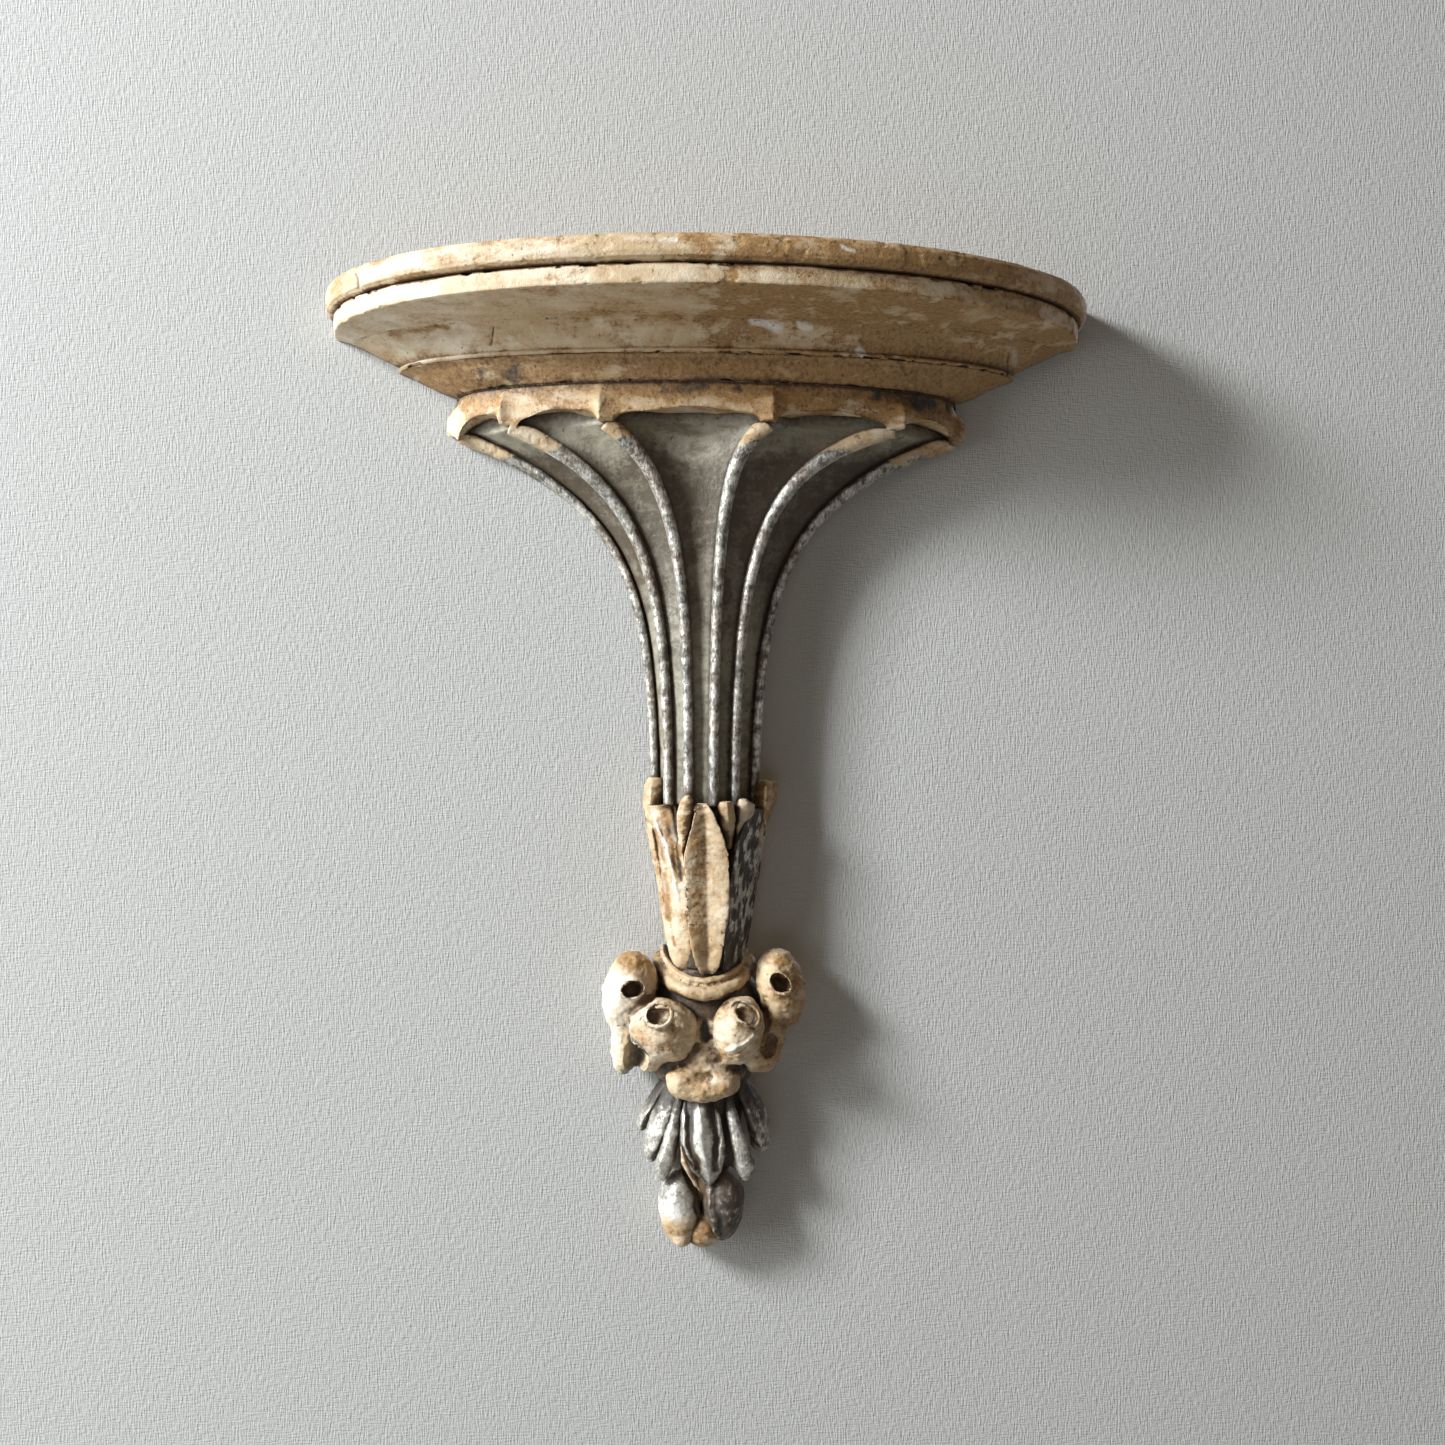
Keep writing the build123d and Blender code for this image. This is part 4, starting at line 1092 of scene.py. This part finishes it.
for material, nodes in (
    (wood_material, ("back_cleat", "stem_dowel", "finial_dowel")),
    (steel_material, ("corbel_screws", "hanger_screws", "hanger_plate_left",
                      "hanger_plate_right")),
):
    for node in nodes:
        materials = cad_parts[node].data.materials
        materials.clear()
        materials.append(material)


# ---------------------------------------------------------------- wall, floor, light, camera
def stage_plane(name, size, place, turn, material):
    """Square of a size at a place, in metres, turned about X."""
    mesh = bpy.data.meshes.new(name)
    half = size / 2
    mesh.from_pydata([(-half, -half, 0), (half, -half, 0), (half, half, 0), (-half, half, 0)],
                     [], [(0, 1, 2, 3)])
    mesh.materials.append(material)
    plane = linked(name, mesh)
    plane.location = place
    plane.rotation_euler = (turn, 0, 0)
    return plane


THREAD = 1.3                # pitch of the cloth on the wall


def plain(name, colour, one_sided=False):
    """Plain matt surface; a one-sided one is cloth, not seen from behind, and casts no shadow."""
    n = Paint(name)
    n.cover((*colour, 1), 0.9)
    if one_sided:
        warp = n.noise(THREAD / 2, 1, 0.5, stretch=(1, 6, 1))
        weft = n.noise(THREAD / 2, 1, 0.5, stretch=(6, 1, 1))
        n.bump(n.plus(warp, weft), 0.3)
        unseen = n.math("MAXIMUM", n.node("NewGeometry", "Backfacing"),
                        n.node("LightPath", "Is Shadow Ray"))
        n.either(unseen, n.shader.outputs[0], n.node("BsdfTransparent"), "Material Output")
    return n.material


WALL = (0.45, 0.45, 0.44)
FLOOR = (0.32, 0.32, 0.31)
BACKDROP = (0.40, 0.40, 0.39)
AMBIENT, AMBIENT_STRENGTH = (1.0, 0.68, 0.42), 0.09
# metres
ROOM = 6.0
FLOOR_LEVEL = -0.9
WALL_GAP = 0.0004           # behind the shelf's back
stage_plane("wall", ROOM, (0, WALL_GAP, FLOOR_LEVEL + ROOM / 2), radians(90),
            plain("wall_paint", WALL, one_sided=True))
stage_plane("floor", ROOM, (0, 0, FLOOR_LEVEL), 0, plain("floor_paint", FLOOR))

TARGET = Vector((0, -0.03, -0.13))     # middle of the shelf
DAYLIGHT = (0.94, 0.98, 1.0)


def lamp(name, place, size, energy, colour):
    """Area lamp (width, height) that looks at the middle of the shelf, in metres and watts."""
    data = bpy.data.lights.new(name, "AREA")
    data.shape = "RECTANGLE"
    data.size, data.size_y = size
    data.energy = energy
    data.color = colour
    light = linked(name, data)
    light.location = place
    light.rotation_euler = (TARGET - Vector(place)).to_track_quat("-Z", "Y").to_euler()


lamp("window", (-1.66, -0.82, 0.75), (0.45, 0.5), 78, DAYLIGHT)
lamp("window_low", (-1.66, -0.86, 0.0), (0.6, 1.3), 20, DAYLIGHT)
lamp("fill", (0.5, -2.2, 0.9), (1.4, 1.4), 1.4, (1.0, 0.84, 0.66))
lamp("back_fill", (0.7, 2.0, 0.6), (1.2, 1.2), 22, (1.0, 0.98, 0.95))

# the room lights the shelf dimly and warmly, and looks pale
world = bpy.data.worlds.new("room")
bpy.context.scene.world = world
world.use_nodes = True
room = Nodes(world.node_tree)
seen = room.math("MAXIMUM", room.node("LightPath", "Is Camera Ray"),
                 room.node("LightPath", "Is Glossy Ray"))
ambient = world.node_tree.nodes["Background"]
room.put(ambient.inputs["Color"], (*AMBIENT, 1))
room.put(ambient.inputs["Strength"], AMBIENT_STRENGTH)
backdrop = room.node("Background", 0, {"Color": (*BACKDROP, 1), "Strength": 1.0})
room.either(seen, ambient.outputs[0], backdrop, "World Output")

CAMERA = (-0.0103, -0.575, -0.138)      # metres
YAW, ROLL = radians(1.7), radians(0.35)
SENSOR = LENS = 36
camera_data = bpy.data.cameras.new("camera")
camera_data.sensor_width = SENSOR
camera_data.lens = LENS
camera_data.clip_start = 0.01
camera = linked("camera", camera_data)
camera.matrix_world = (
    Matrix.Translation(CAMERA)
    @ Matrix.Rotation(-YAW, 4, "Z") @ Matrix.Rotation(radians(90), 4, "X")
    @ Matrix.Rotation(ROLL, 4, "Z")
)
bpy.context.scene.camera = camera
bpy.context.scene.view_settings.view_transform = "Standard"
